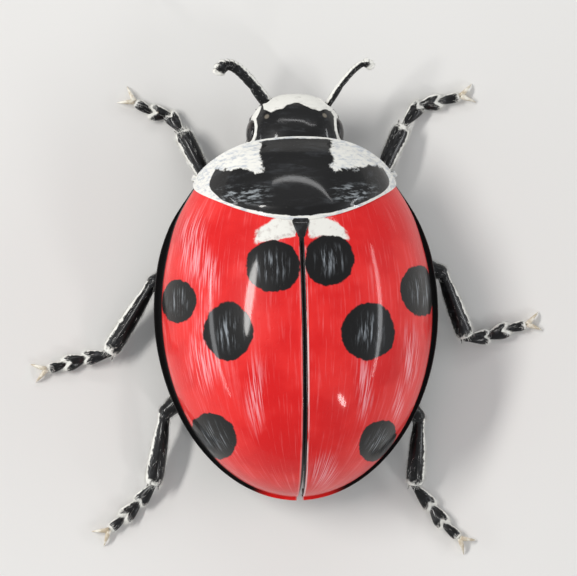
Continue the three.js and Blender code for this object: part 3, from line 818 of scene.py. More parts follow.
# Front of the head: a thin raised plate of cream chitin that wraps over the brow, with a rear
# edge of two scallops, and runs down to the lip between the roots of the feelers.
FACE_ENDS = {-1: 0.57, 1: 0.68}
FACE_SCALLOP = 0.44
FACE_ARCH_Y = 3.915
FACE_LOBE_Y = 3.755
FACE_END_Y = 3.80
FACE_COLUMNS = 72
FACE_ROWS = 24
FACE_WALL = 0.03
FACE_RISE = 0.016
FACE_STEPS = 14
FACE_SHADE = (0.46, 0.45, 0.41, 1)


def face_plate():
    """The pale front: a grid laid on the head from the scalloped edge down to the lip."""
    bm = bmesh.new()
    bmesh.ops.create_grid(bm, x_segments=FACE_COLUMNS, y_segments=FACE_ROWS, size=1)
    for vert in bm.verts:
        end = FACE_ENDS[1 if vert.co.x > 0 else -1]
        across = vert.co.x * end / HEAD_RADII.x
        from_arch = abs(vert.co.x) * end
        if from_arch < FACE_SCALLOP:
            arch = 0.5 + 0.5 * math.cos(math.pi * from_arch / FACE_SCALLOP)
            edge_y = FACE_LOBE_Y + (FACE_ARCH_Y - FACE_LOBE_Y) * arch
        else:
            edge_y = FACE_LOBE_Y + (FACE_END_Y - FACE_LOBE_Y) * ease(from_arch, FACE_SCALLOP, end)
        edge_y += 0.03 * noise.noise(Vector((9 * from_arch * (1 if vert.co.x > 0 else -1.1), 2.7, 0)))
        reach = math.sqrt(1 - across * across)
        low, high = 0.0, 1.3
        for _ in range(FACE_STEPS):
            middle = (low + high) / 2
            tried = Vector((across, reach * math.cos(middle), reach * math.sin(middle)))
            high_enough = head_place(tried).y > edge_y
            low, high = (middle, high) if high_enough else (low, middle)
        lower = 0.12 + 0.04 * noise.noise(Vector((5 * vert.co.x, 8.1, 0)))
        for root in FEELER_ROOTS:
            lower += 0.46 * bell(HEAD_CENTRE.x + vert.co.x * end, root.x, 0.18)
        upper = max(low, lower + 0.2)
        angle = upper + (lower - upper) * (vert.co.y + 1) / 2
        vert.co = head_place(Vector((across, reach * math.cos(angle), reach * math.sin(angle))), FACE_RISE)
    face_along(bm, Vector((0, 1, 0)))
    thicken(bm, FACE_WALL)
    round_corners(bm, 55, 0.012, 3)
    return bm


def cream_shell(name):
    """Cream chitin: chalky under a thin gloss, with brushed darker strokes and soft lumps."""
    finish, place = new_finish(name, 0.5, 0.35, 0.2)
    brushed = strokes(place, (5, 11, 7), 5.0, 0.6, 0.5)
    colour = blend(brushed.ramp(0.52, 0.8), CREAM, FACE_SHADE)
    lumps = bump(brushed, 0.8, 0.008)
    return dressed(finish, colour, pits(place, 16.0, 0.3, 0.004, lumps), brushed.spread(0.4, 0.65))


settle("face_plate", face_plate(), cream_shell("face_shell"), "pale_shell", "face")

# Eyes: two bulging compound eyes, each a dome of some hundreds of small raised lenses, black and
# glossy, set in the sockets at the sides of the head.
LENS_RISE = 0.014
EYE_BACK = 0.1
EYE_BLACK = (0.006, 0.005, 0.006, 1)
EYE_BROWN = (0.018, 0.011, 0.009, 1)


def compound_eye(side):
    """One eye: a ball of even triangles whose first corners stand up as the lenses."""
    bm = bmesh.new()
    bmesh.ops.create_icosphere(bm, subdivisions=5, radius=1 - LENS_RISE)
    lenses = set(bm.verts)
    bmesh.ops.subdivide_edges(bm, edges=bm.edges[:], cuts=1, use_grid_fill=True)
    centre = Vector((side * EYE_CENTRE.x + HEAD_CENTRE.x, EYE_CENTRE.y, EYE_CENTRE.z))
    for vert in bm.verts:
        vert.co = centre + vert.co.normalized() * (1 if vert in lenses else 1 - LENS_RISE) * EYE_RADII
    back = Vector((side * (EYE_CENTRE.x - EYE_BACK) + HEAD_CENTRE.x, 0, 0))
    bmesh.ops.contextual_create(bm, geom=cut_away(bm, back, (-side, 0, 0)))
    return bm


def eye_lens():
    """Near-black with a brown depth and a hard clear gloss."""
    finish, place = new_finish("eye_lens", 0.3, 0.8, 0.06, 0.2)
    colour = blend(cloudy(place, 4.0, 3.0).ramp(0.4, 0.7), EYE_BLACK, EYE_BROWN)
    facets = work("TexVoronoi", "Distance", {"Vector": place, "Scale": 34.0, "Randomness": 0.25})
    return dressed(finish, colour, bump(facets, 0.5, 0.004))


eye_finish = eye_lens()
for name, side in SIDES.items():
    settle(f"{name}_compound_eye", compound_eye(side), eye_finish, "eye", f"eye_{name}", crease=80)

# Mouthparts: the lip hangs in front of two toothed jaws, with a four-jointed palp at each side,
# whose last joint is broad like an axe, and the chin closes the mouth from below.
OUTLINE_STEPS = 5
LIP_FULLNESS = 3.4
LIP_NOTCH = 0.22
CHIN_FULLNESS = 3
CHIN_NARROWING = 0.28
CHIN_GROOVE = 0.05
# Each outline of a joint runs from its root to its end, in shares of its length and in radii.
JAW_OUTLINE = [(0, 0), (0, 0.12), (0.1, 0.15), (0.45, 0.14), (0.75, 0.09), (0.95, 0.05), (1, 0.02), (1, 0)]
JAW_TOOTH_OUTLINE = [(0, 0), (0, 0.05), (0.6, 0.03), (1, 0.006), (1, 0)]
PALP_PATH = [(0.60, 3.36, 0.74), (0.655, 3.50, 0.71), (0.675, 3.60, 0.69),
             (0.635, 3.68, 0.69), (0.555, 3.85, 0.71)]
PALP_OUTLINES = [
    [(0, 0), (0, 0.045), (0.5, 0.06), (1, 0.055), (1, 0)],
    [(0, 0), (0, 0.05), (0.5, 0.07), (1, 0.07), (1, 0)],
    [(0, 0), (0, 0.05), (0.5, 0.075), (1, 0.07), (1, 0)],
    [(-0.05, 0), (-0.05, 0.045), (0.2, 0.07), (0.5, 0.105),
     (0.8, 0.135), (0.95, 0.13), (1.03, 0.07), (1.03, 0)],
]
PALP_FLATNESS = [0.9, 0.9, 0.9, 0.42]
PALP_SLANT = 0.55
MOUTH_BLACK = (0.022, 0.014, 0.010, 1)
MOUTH_BROWN = (0.10, 0.045, 0.02, 1)


def new_limb():
    """An empty shape, and the marks its corners keep: which way hairs lie and where they are."""
    bm = bmesh.new()
    bm.verts.layers.float_vector.new("grain")
    bm.verts.layers.float_vector.new("unwrap")
    return bm


def limb_marks(bm):
    """The two marks of a limb's corners."""
    return [bm.verts.layers.float_vector[name] for name in ("grain", "unwrap")]


def join(whole, part):
    """Adds one finished shape to another, with the marks on its corners."""
    carried = bpy.data.meshes.new("carried")
    part.to_mesh(carried)
    part.free()
    whole.from_mesh(carried)
    bpy.data.meshes.remove(carried)


def limb(whole, start, end, outline, sides=20, flat=1.0, bow=0.0, band=0, reshape=None):
    """A joint of a limb, turned from (share of its length, radius) pairs and laid start to end."""
    reach = end - start
    axis = reach.normalized()
    side = Vector((0, 0, 1)).cross(axis).normalized()
    up = axis.cross(side)
    part = new_limb()
    run = through([Vector(pair) for pair in outline], OUTLINE_STEPS * (len(outline) - 1) + 1)
    corners = [part.verts.new((max(0, radius), 0, share)) for share, radius in run]
    strips = [part.edges.new(pair) for pair in zip(corners, corners[1:])]
    bmesh.ops.spin(
        part, geom=corners + strips, cent=(0, 0, 0), axis=(0, 0, 1), dvec=(0, 0, 0),
        angle=2 * math.pi, steps=sides, use_merge=True, use_normal_flip=False, use_duplicate=False,
    )
    bmesh.ops.remove_doubles(part, verts=part.verts, dist=1e-4)
    face_outwards(part)
    grain, unwrap = limb_marks(part)
    for vert in part.verts:
        share = vert.co.z
        vert[grain] = axis
        vert[unwrap] = Vector((share, math.atan2(vert.co.x, vert.co.y) / (2 * math.pi) + 0.5, band))
        vert.co.y = vert.co.y * flat + bow * 4 * share * (1 - share)
        vert.co.z = share * reach.length
        if reshape is not None:
            reshape(vert.co, share)
    turn = Matrix((side, up, axis)).transposed().to_4x4()
    bmesh.ops.transform(part, matrix=Matrix.Translation(start) @ turn, verts=part.verts)
    join(whole, part)


def lip_plate():
    """The lip: a squared plate with a shallow notch in its front edge."""
    bm = new_limb()
    low, high = box_of("lip")
    middle = (low + high) / 2
    half = (high - low) / 2
    bmesh.ops.create_uvsphere(bm, u_segments=56, v_segments=32, radius=1)
    grain, unwrap = limb_marks(bm)
    for vert in bm.verts:
        full = squared(vert.co.x, vert.co.y, LIP_FULLNESS)
        vert[grain] = Vector((0, 1, -0.3))
        vert[unwrap] = Vector((0.5 + vert.co.x / 2, 0.5 + vert.co.y / 2, 0))
        x = vert.co.x * full * 0.92
        y = vert.co.y * full * 0.9 - (LIP_NOTCH * bell(x, 0, 0.28) if vert.co.y > 0 else 0)
        z = middle.z + vert.co.z * half.z * 0.8 - 0.05 * y
        vert.co = Vector((middle.x + HEAD_CENTRE.x + x * half.x, middle.y + y * half.y, z))
    return bm


def jaw(side):
    """One jaw: a curved, tapered tooth of hard chitin with a second point inside its tip."""
    bm = new_limb()
    root = Vector((side * 0.33 + HEAD_CENTRE.x, 3.44, 0.62))
    tip = Vector((side * 0.07 + HEAD_CENTRE.x, 3.84, 0.6))

    def hook(place, share):
        place.x -= side * 0.08 * math.sin(math.pi * share)

    limb(bm, root, tip, JAW_OUTLINE, 22, 0.62, reshape=hook)
    inner = root.lerp(tip, 0.62) + Vector((side * 0.03, 0, -0.02))
    limb(bm, inner, inner + Vector((-side * 0.14, 0.07, 0)), JAW_TOOTH_OUTLINE, 12, 0.7)
    return bm


def palp(side):
    """One palp: four joints, each seated in the end of the one before, the last cut off aslant."""
    bm = new_limb()

    def slant(place, share):
        place.z += side * PALP_SLANT * place.x * max(0, share)

    path = [Vector((side * x + HEAD_CENTRE.x, y, z)) for x, y, z in PALP_PATH]
    for band, outline in enumerate(PALP_OUTLINES):
        reshape = slant if outline is PALP_OUTLINES[-1] else None
        limb(bm, path[band], path[band + 1], outline, 24, PALP_FLATNESS[band], band=band, reshape=reshape)
    return bm


def chin_plate():
    """The chin: a shield-shaped plate with two small lip palps in front."""
    bm = new_limb()
    low, high = box_of("chin")
    middle = (low + high) / 2 + Vector((HEAD_CENTRE.x, 0, 0))
    half = (high - low) / 2
    bmesh.ops.create_uvsphere(bm, u_segments=48, v_segments=32, radius=1)
    for vert in bm.verts:
        full = squared(vert.co.x, vert.co.y, CHIN_FULLNESS)
        narrow = 1 - CHIN_NARROWING * ease(vert.co.y, -0.2, 1)
        groove = CHIN_GROOVE * bell(vert.co.y, 0.25, 0.08) if vert.co.z < 0 else 0
        x = middle.x + vert.co.x * full * half.x * narrow
        vert.co = Vector((x, middle.y + vert.co.y * full * half.y, middle.z + vert.co.z * half.z + groove))
    for side in (-1, 1):
        root = middle + Vector((side * 0.1, half.y * 0.7, -0.06))
        knuckle = root + Vector((side * 0.05, 0.09, -0.01))
        limb(bm, root, knuckle, PALP_OUTLINES[0], 14, 0.9)
        limb(bm, knuckle, knuckle + Vector((side * 0.01, 0.1, 0.01)), PALP_OUTLINES[1], 14, 0.9)
    return bm


def mouth_shell():
    """Dark brown chitin, paler and redder in some patches than in others."""
    finish, place = new_finish("mouth_shell", 0.36, 0.5, 0.15)
    grain = cloudy(place, 6.0, 4.0, 0.6)
    colour = blend(grain.ramp(0.42, 0.72), MOUTH_BLACK, MOUTH_BROWN)
    return dressed(finish, colour, pits(place, 20.0, 0.3, 0.003, bump(grain, 0.6, 0.01)))


mouth_finish = mouth_shell()
settle("lip_plate", lip_plate(), mouth_finish, "mouthparts", "lip")
settle("chin_plate", chin_plate(), mouth_finish, "mouthparts", "chin")
for name, side in SIDES.items():
    settle(f"{name}_jaw", jaw(side), mouth_finish, "mouthparts", f"jaw_{name}")
    settle(f"{name}_palp", palp(side), mouth_finish, "mouthparts", f"palp_{name}")

# Feelers: eleven joints each, a long first joint, a round second one, six small ones and a club
# of three broad ones that hooks down. The left one is the thicker. Both have pale tips, and a pale
# line along one edge painted as a rim highlight.
# Each feeler's pale edge line is a painted rim highlight: where it runs round, and half its width.
FEELERS = {
    "left": {
        "path": [
            (-0.43, 3.84, 1.22), (-0.69, 4.20, 1.36), (-0.97, 4.52, 1.46),
            (-1.20, 4.68, 1.49), (-1.38, 4.64, 1.45), (-1.44, 4.50, 1.39),
        ],
        "girth": 0.110, "club_girth": 0.114, "rim_highlight": (0.34, 0.05),
    },
    "right": {
        "path": [
            (0.64, 3.82, 1.22), (0.87, 4.18, 1.37), (1.12, 4.48, 1.47),
            (1.32, 4.64, 1.49), (1.46, 4.66, 1.46), (1.54, 4.56, 1.41),
        ],
        "girth": 0.064, "club_girth": 0.082, "rim_highlight": (0.66, 0.10),
    },
}
STEM_SHARES = [0.0, 0.24, 0.33, 0.395, 0.455, 0.51, 0.565, 0.62, 0.675]
CLUB_SHARES = [0.675, 0.775, 0.88, 1.0]
FEELER_STEPS = 200
FEELER_SCAPE = [(0, 0), (0, 0.75), (0.08, 0.98), (0.5, 1.10),
                (0.85, 1.06), (0.98, 0.92), (1.02, 0.7), (1.02, 0)]
FEELER_JOINT = [(-0.05, 0), (-0.05, 0.8), (0.1, 0.93), (0.5, 1.0), (0.88, 1.03), (1, 0.95), (1.04, 0)]
CLUB_JOINT = [(-0.08, 0), (-0.08, 0.75), (0.12, 1.0), (0.5, 1.14), (0.88, 1.18), (1.02, 1.04), (1.06, 0)]
CLUB_TIP = [(-0.08, 0), (-0.08, 0.75), (0.12, 1.0), (0.45, 1.12), (0.78, 0.98), (0.97, 0.55), (1.03, 0)]
PALE_TIP_REACH = 0.17


def feeler_joints(path, shares, outlines, girth):
    """A run of joints along a smooth path, each seated in the end of the one before."""
    bm = new_limb()
    run = through([Vector(place) for place in path], FEELER_STEPS + 1)
    ends = [run[round(share * FEELER_STEPS)] for share in shares]
    for band, outline in enumerate(outlines):
        scaled = [(share, radius * girth) for share, radius in outline]
        limb(bm, ends[band], ends[band + 1], scaled, 20, 0.9, band=band)
    return bm


def limb_shell(name, pale_tip=None, rim_highlight=None, pale_ends=None):
    """Black chitin with fine scaly grain, cream where the limb is pale, and a pale line painted as a rim
    highlight.

    pale_tip is the place of a pale end. The third argument is where the painted rim highlight runs, as a
    share of the way round, and half its width. pale_ends is the share of each joint where its end begins.
    """
    finish, place = new_finish(name, 0.36, 0.55, 0.16, BLACK_SHINE)
    colour, rough, ripple, grain = black_mottle_and_sheen(place, SHELL_BLACK, (9, 9, 9))
    if pale_tip is not None:
        away = grain * 0.08 + place_sums("DISTANCE", place, pale_tip, "Value")
        colour = blend(away.ramp(PALE_TIP_REACH + 0.04, PALE_TIP_REACH), colour, CREAM)
    # Painted rim highlight: a pale line along one edge of the limb.
    if rim_highlight is not None:
        turn, width = rim_highlight
        away = grain * 0.2 + abs(split(marked(place, "unwrap"))[1] - turn)
        colour = blend(away.ramp(width + 0.12, width + 0.09), colour, CREAM)
    if pale_ends is not None:
        ragged = grain * -0.35 + split(marked(place, "unwrap"))[0]
        colour = blend(ragged.ramp(pale_ends - 0.05, pale_ends + 0.03), colour, CREAM)
    scales = work("TexVoronoi", "Distance", {"Vector": place, "Scale": 24.0, "Randomness": 0.8})
    return dressed(finish, colour, bump(scales, 0.6, 0.008, ripple), rough)


feeler_pieces = {}
for name, feeler in FEELERS.items():
    path = feeler["path"]
    edge = feeler["rim_highlight"]
    stem = feeler_joints(path, STEM_SHARES, [FEELER_SCAPE] + 7 * [FEELER_JOINT], feeler["girth"])
    club = feeler_joints(path, CLUB_SHARES, [CLUB_JOINT, CLUB_JOINT, CLUB_TIP], feeler["club_girth"])
    stem_finish = limb_shell(f"{name}_stem_shell", None, edge)
    club_finish = limb_shell(f"{name}_club_shell", path[-1], edge)
    feeler_pieces[name] = [
        settle(f"{name}_feeler_stem", stem, stem_finish, "limb_shell", f"feeler_{name}_stem"),
        settle(f"{name}_feeler_club", club, club_finish, "limb_shell", f"feeler_{name}_club"),
    ]

# Legs: six alike, each a round hip, a small ring, a spindle-shaped thigh, a shin that widens to
# two spurs, and a foot of lobed joints on pale pads with two toothed claws. All are black chitin
# with pale joint ends, and a narrow pale line along the outer edge of the shin and the foot that is
# a painted rim highlight.
HIP_HEIGHT = 0.54
KNEE_HEIGHT = 0.62
ANKLE_HEIGHT = 0.33
TOE_HEIGHT = 0.115
# Each leg, seen from above: hip, knee, ankle, and the ends of the three joints of the foot.
LEGS = {
    "front_left": [(-0.44, 2.3), (-1.6, 2.36), (-2.1, 3.42), (-2.32, 3.76), (-2.68, 3.83), (-2.95, 4.0)],
    "front_right": [(0.44, 2.3), (1.64, 2.36), (2.19, 3.45), (2.53, 3.85), (2.92, 3.92), (3.28, 4.0)],
    "middle_left": [(-0.8, 1.25), (-2.74, 0.52), (-3.6, -0.82),
                    (-4.05, -0.91), (-4.45, -1.02), (-4.75, -1.1)],
    "middle_right": [(0.8, 1.25), (2.86, 0.6), (3.33, -0.66), (3.76, -0.66), (4.15, -0.52), (4.48, -0.45)],
    "hind_left": [(-1.0, -0.72), (-2.56, -2.0), (-2.8, -3.38),
                  (-3.07, -3.72), (-3.38, -4.02), (-3.62, -4.21)],
    "hind_right": [(1.0, -0.72), (2.36, -2.2), (2.27, -3.5), (2.6, -3.92), (2.84, -4.28), (3.1, -4.52)],
}
HIP_LENGTH = 0.42
RING_LENGTH = 0.12
HIP_OUTLINE = [(-0.45, 0), (-0.45, 0.12), (-0.2, 0.21), (0.3, 0.24), (0.75, 0.2), (1, 0.13), (1, 0)]
RING_OUTLINE = [(-0.3, 0), (-0.3, 0.09), (0.1, 0.14), (0.7, 0.15), (1.1, 0.1), (1.1, 0)]
THIGH_OUTLINE = [
    (0, 0), (0, 0.09), (0.06, 0.13), (0.3, 0.19), (0.55, 0.21),
    (0.8, 0.18), (0.93, 0.15), (1.0, 0.14), (1.05, 0.09), (1.06, 0),
]
SHIN_OUTLINE = [
    (-0.05, 0), (-0.05, 0.06), (0.0, 0.105), (0.05, 0.12), (0.14, 0.115), (0.35, 0.15),
    (0.65, 0.172), (0.88, 0.175), (0.97, 0.15), (1.0, 0.11), (1.0, 0),
]
SPUR_OUTLINE = [(0, 0), (0, 0.02), (0.5, 0.014), (1, 0.003), (1, 0)]
SPUR_APART = 0.085
TOE_OUTLINES = [
    [(-0.12, 0), (-0.12, 0.05), (0.1, 0.07), (0.4, 0.11),
     (0.75, 0.145), (1.0, 0.135), (1.18, 0.08), (1.24, 0)],
    [(-0.1, 0), (-0.1, 0.05), (0.1, 0.075), (0.4, 0.125), (0.75, 0.16), (1.02, 0.14), (1.2, 0.08), (1.26, 0)],
    [(-0.1, 0), (-0.1, 0.05), (0.1, 0.065), (0.45, 0.09), (0.8, 0.10), (1.0, 0.085), (1.1, 0.05), (1.12, 0)],
]
CLAW_OUTLINE = [(0, 0), (0, 0.05), (0.25, 0.045), (0.6, 0.028), (0.85, 0.014), (1, 0.003), (1, 0)]
TOOTH_OUTLINE = [(0, 0), (0, 0.028), (0.6, 0.014), (1, 0.002), (1, 0)]
CLAW_LENGTH = 0.33
CLAW_SPREAD = math.radians(34)
CLAW_TIP_HEIGHT = 0.012
HORN_DARK = (0.50, 0.42, 0.30, 1)
HORN_CLEAR = (0.82, 0.79, 0.70, 1)
# Where the painted rim highlight runs round the shins and feet of each side, as a share of the way round.
RIM_HIGHLIGHT_TURNS = {"left": 0.30, "right": 0.70}


def notch(place, share):
    """Draws the middle of a toe's front edge back, so that it ends in two lobes."""
    middle = bell(place.x, 0, 0.055)
    place.z -= 0.12 * middle * ease(share, 0.55, 1.0)
    place.y += 0.02 * middle * ease(share, 0.3, 1.0)


def furrow(place, share):
    """Presses a furrow under the end of the thigh, where the shin folds in."""
    under = bell(place.x, 0, 0.06) * ease(-place.y, 0.02, 0.12)
    place.y += 0.05 * under * ease(share, 0.35, 0.6)


def keel(place, share):
    """Raises a keel along the outer side of the shin."""
    outer = bell(place.x, 0, 0.05) * ease(place.y, 0.05, 0.12)
    place.y += 0.025 * outer * math.sin(math.pi * min(1, max(0, share)))


def leg_parts(path):
    """The hip, thigh, shin, foot and claws of one leg, with their joints seated in each other."""
    coxa, thigh, shin, foot, claws = [new_limb() for _ in range(5)]
    hip = Vector((*path[0], HIP_HEIGHT))
    knee = Vector((*path[1], KNEE_HEIGHT))
    ankle = Vector((*path[2], ANKLE_HEIGHT))
    outward = (knee - hip).normalized()
    socket = hip + outward * HIP_LENGTH
    thigh_start = socket + outward * RING_LENGTH
    limb(coxa, hip, socket, HIP_OUTLINE, 28, 0.95)
    limb(thigh, socket, thigh_start, RING_OUTLINE, 24, 0.95)
    limb(thigh, thigh_start, knee, THIGH_OUTLINE, 32, 1.0, 0.02, 1, furrow)
    limb(shin, knee, ankle, SHIN_OUTLINE, 32, 0.86, 0.035, 0, keel)
    down_shin = (ankle - knee).normalized()
    across = down_shin.cross(Vector((0, 0, 1))).normalized()
    for side in (-1, 1):
        root = ankle + across * side * SPUR_APART - down_shin * 0.05 - Vector((0, 0, 0.07))
        tip = root + down_shin * 0.15 + across * side * 0.035 - Vector((0, 0, 0.035))
        limb(shin, root, tip, SPUR_OUTLINE, 10, 1, 0, 1)
    toes = [Vector((*spot, TOE_HEIGHT)) for spot in path[3:]]
    start = ankle + down_shin * 0.03
    for band, (toe, outline) in enumerate(zip(toes, TOE_OUTLINES)):
        limb(foot, start, toe, outline, 28, 0.66, 0.02, band, notch if band < 2 else None)
        start = toe
    forward = (toes[2] - toes[1]).normalized()
    claw_root = toes[2] + forward * 0.06 + Vector((0, 0, 0.015))
    for side in (-1, 1):
        heading = Matrix.Rotation(side * CLAW_SPREAD, 3, "Z") @ forward
        tip = claw_root + heading * CLAW_LENGTH
        tip.z = CLAW_TIP_HEIGHT
        limb(claws, claw_root, tip, CLAW_OUTLINE, 14, 1, 0.06, 3)
        tooth_root = claw_root.lerp(tip, 0.2)
        tooth_tip = tooth_root + heading * 0.10 - Vector((0, 0, 0.055))
        limb(claws, tooth_root, tooth_tip, TOOTH_OUTLINE, 10, 1, 0, 3)
    return coxa, thigh, shin, foot, claws


def claw_horn():
    """Amber horn, darker in some patches and clearer in others."""
    finish, place = new_finish("claw_horn", 0.3, 0.6, 0.12)
    grain = cloudy(place, 9.0, 4.0)
    return dressed(finish, blend(grain.ramp(0.35, 0.7), HORN_DARK, HORN_CLEAR), bump(grain, 0.5, 0.006))


leg_finish = limb_shell("leg_shell")
shin_finishes = {}
foot_finishes = {}
for side, turn in RIM_HIGHLIGHT_TURNS.items():
    shin_finishes[side] = limb_shell(f"{side}_shin_shell", None, (turn, 0.05), 0.78)
    foot_finishes[side] = limb_shell(f"{side}_foot_shell", None, (turn, 0.04), 0.80)
claw_finish = claw_horn()
leg_pieces = {}
for leg, path in LEGS.items():
    coxa, thigh, shin, foot, claws = leg_parts(path)
    foot_side = leg.split("_")[1]
    # The front shins point forwards, so their outer edge lies on the other side of the joint.
    shin_side = {"front_left": "right", "front_right": "left"}.get(leg, foot_side)
    settle(f"{leg}_coxa", coxa, leg_finish, "limb_shell", f"{leg}_hip")
    leg_pieces[leg] = [
        settle(f"{leg}_femur", thigh, leg_finish, "limb_shell", f"{leg}_thigh"),
        settle(f"{leg}_tibia", shin, shin_finishes[shin_side], "limb_shell", f"{leg}_shin"),
        settle(f"{leg}_tarsus", foot, foot_finishes[foot_side], "limb_shell", f"{leg}_foot"),
    ]
    settle(f"{leg}_claws", claws, claw_finish, "limb_shell")

# Trunk: the middle and hind thorax and five rings of the abdomen, each a belt of black chitin
# whose rear edge overlaps the belt behind it. The belly is bare, with hollows for the hips.
BODY_HALF_WIDTH = 2.36
BODY_HALF_LENGTH = 3.32
BODY_HEIGHT = 1.97
BELLY_DEPTH = 0.6
BELT_SIDES = 128
BELT_CUTS = 15
BELT_CROWDING = 1.35
BELT_BOW = 0.06
BELT_LIP = 0.03
TUCK = 0.09
STEP = 0.035
HIP_ROOM = 0.27
HIP_HOLLOW = 0.16
HIP_RIM = 0.012
BELLY_HAIR_LIE = Vector((0, -1, -0.25))
BELLY_BLACK = (0.016, 0.0135, 0.012, 1)
BELLY_BROWN = (0.13, 0.075, 0.04, 1)
TRUNK_HIPS = [LEGS[leg][:2] for leg in ("middle_left", "middle_right", "hind_left", "hind_right")]


def from_hip(place, hips):
    """Distance from a place to the nearest hip, seen from below."""
    gaps = []
    for hip, knee in hips:
        root = Vector(hip)
        outward = (Vector(knee) - root).normalized()
        gap = Vector((place.x, place.y)) - root
        along = min(HIP_LENGTH, max(0, gap.dot(outward)))
        gaps.append((gap - outward * along).length)
    return min(gaps)


def hip_hollow(near):
    """How deep the hollow for a hip is at a distance from it, where 1 is its full depth."""
    return 1 - ease(near, HIP_ROOM - 0.08, HIP_ROOM + 0.06)


def body_place(angle, y, girth=1.0, grow=0.0):
    """A place on the trunk. The angle is 0 at the middle of the belly and turns to the right."""
    along = min(0.999, max(-0.999, (y - BACK_MIDDLE_Y) / BODY_HALF_LENGTH))
    reach = math.sqrt(1 - along * along) * girth
    up = -math.cos(angle) * reach
    rise = (BODY_HEIGHT * (1 - BACK_LEAN * along) + grow) * up if up > 0 else (BELLY_DEPTH + grow) * up
    behind = max(0, -along)
    across = (BODY_HALF_WIDTH + grow) * (math.sin(angle) * reach)
    return Vector((across, y, RIM_HEIGHT + rise - TAIL_DROOP * behind * behind))


def trunk_belt(rear_y, front_y, furnish=None):
    """One belt: a drum cut into rings, drawn to the body, with a rounded lip along its rear."""
    bm = new_limb()
    bmesh.ops.create_cone(
        bm, cap_ends=True, cap_tris=False, segments=BELT_SIDES, radius1=1, radius2=1, depth=1)
    cut_lengthwise(bm, BELT_CUTS)
    grain, unwrap = limb_marks(bm)
    for vert in bm.verts:
        share = (vert.co.z + 0.5) ** BELT_CROWDING
        angle = math.atan2(vert.co.x, -vert.co.y)
        y = rear_y + (front_y + TUCK - rear_y) * share
        lip = BELT_LIP * bell(y - rear_y, 0.05, 0.05)
        tucked = 0.07 * ease(y, front_y - 0.06, front_y + TUCK)
        turned_in = 0.06 * (1 - ease(y, rear_y, rear_y + 0.03))
        bow = BELT_BOW * math.cos(angle) * (1 - ease(share, 0, 1))
        place = body_place(angle, y - bow, 1 + lip - tucked - turned_in)
        if place.z < RIM_HEIGHT:
            place.z -= STEP * (bell(y - rear_y, 0.07, 0.06) - ease(y, front_y - 0.1, front_y + TUCK))
            near = from_hip(place, TRUNK_HIPS)
            place.z += HIP_HOLLOW * hip_hollow(near)
            place.z -= HIP_RIM * bell(near - HIP_ROOM, 0.08, 0.03)
            if furnish is not None:
                furnish(place)
        vert[grain] = BELLY_HAIR_LIE
        vert[unwrap] = Vector((share, angle / (2 * math.pi) + 0.5, 0))
        vert.co = place
    face_outwards(bm)
    return bm


def breast_line(place):
    """Presses a fine groove down the middle of the hind breast, and a ridge across its front."""
    place.z += 0.028 * bell(place.x, 0, 0.022) * ease(0.75 - abs(place.y - 0.1), 0, 0.2)
    place.z -= 0.016 * bell(place.y - 0.80, 0.06 * math.cos(place.x * 1.5), 0.025)


def hip_lines(place):
    """Raises the curved line behind each hind hip on the first ring of the abdomen."""
    gap = math.hypot(abs(place.x) - 1.05, (place.y + 0.62) * 1.35)
    place.z -= 0.016 * bell(gap, 0.66, 0.025)


def middle_ridge(place):
    """Raises a blunt ridge between the middle hips."""
    place.z -= 0.03 * bell(abs(place.x), 0.3, 0.05) * ease(place.y, 1.0, 1.3)


def underside_shell(name, edge_y=None):
    """Black-brown chitin, duller than the back, with coarse pits and a paler thin rear edge."""
    finish, place = new_finish(name, 0.45, 0.35, 0.22, BLACK_SHINE)
    colour, rough, ripple, grain = black_mottle_and_sheen(place, BELLY_BLACK, (5, 5, 5))
    if edge_y is not None:
        wobble = grain * 0.05 + split(place)[1]
        colour = blend(wobble.ramp(edge_y + 0.045, edge_y - 0.015), colour, BELLY_BROWN)
    return dressed(finish, colour, pits(place, 11.0, 0.36, 0.009, ripple), rough)


# Each belt: its name, the CAD node it stands for and what is raised or pressed into it.
BELTS = [
    ("middle_breast", "middle_thorax", middle_ridge), ("hind_breast", "hind_thorax", breast_line),
    ("belly_belt_1", "abdomen_1", hip_lines), ("belly_belt_2", "abdomen_2", None),
    ("belly_belt_3", "abdomen_3", None), ("belly_belt_4", "abdomen_4", None),
    ("belly_belt_5", "abdomen_5", None),
]
LAST_BELT_SHORTER = 0.1
trunk_finish = underside_shell("trunk_shell")
trunk_pieces = []
for name, node_name, furnish in BELTS:
    low, high = box_of(node_name)
    rear = low.y + (LAST_BELT_SHORTER if node_name == "abdomen_5" else 0)
    finish = trunk_finish
    if node_name.startswith("abdomen"):
        finish = underside_shell(f"{name}_shell", low.y - 0.02)
    trunk_pieces.append(settle(name, trunk_belt(rear, high.y, furnish), finish, "underside", node_name))

# Throat: the front of the thorax under the shield, a rounded block with two fine keels between
# the front hips and a hollow for each of them. The head fits into its front.
THROAT_CENTRE = Vector((0, 2.35, 1.28))
THROAT_RADII = Vector((1.62, 0.92, 0.82))
THROAT_FULLNESS = 2.6
THROAT_UNDER_SHIELD = 0.24
THROAT_HIP_HOLLOW = 0.2
THROAT_HIPS = [LEGS[leg][:2] for leg in ("front_left", "front_right")]
UNDERSIDE_TOP = 1.2
KEEL_APART = 0.085
KEEL_HEIGHT = 0.035


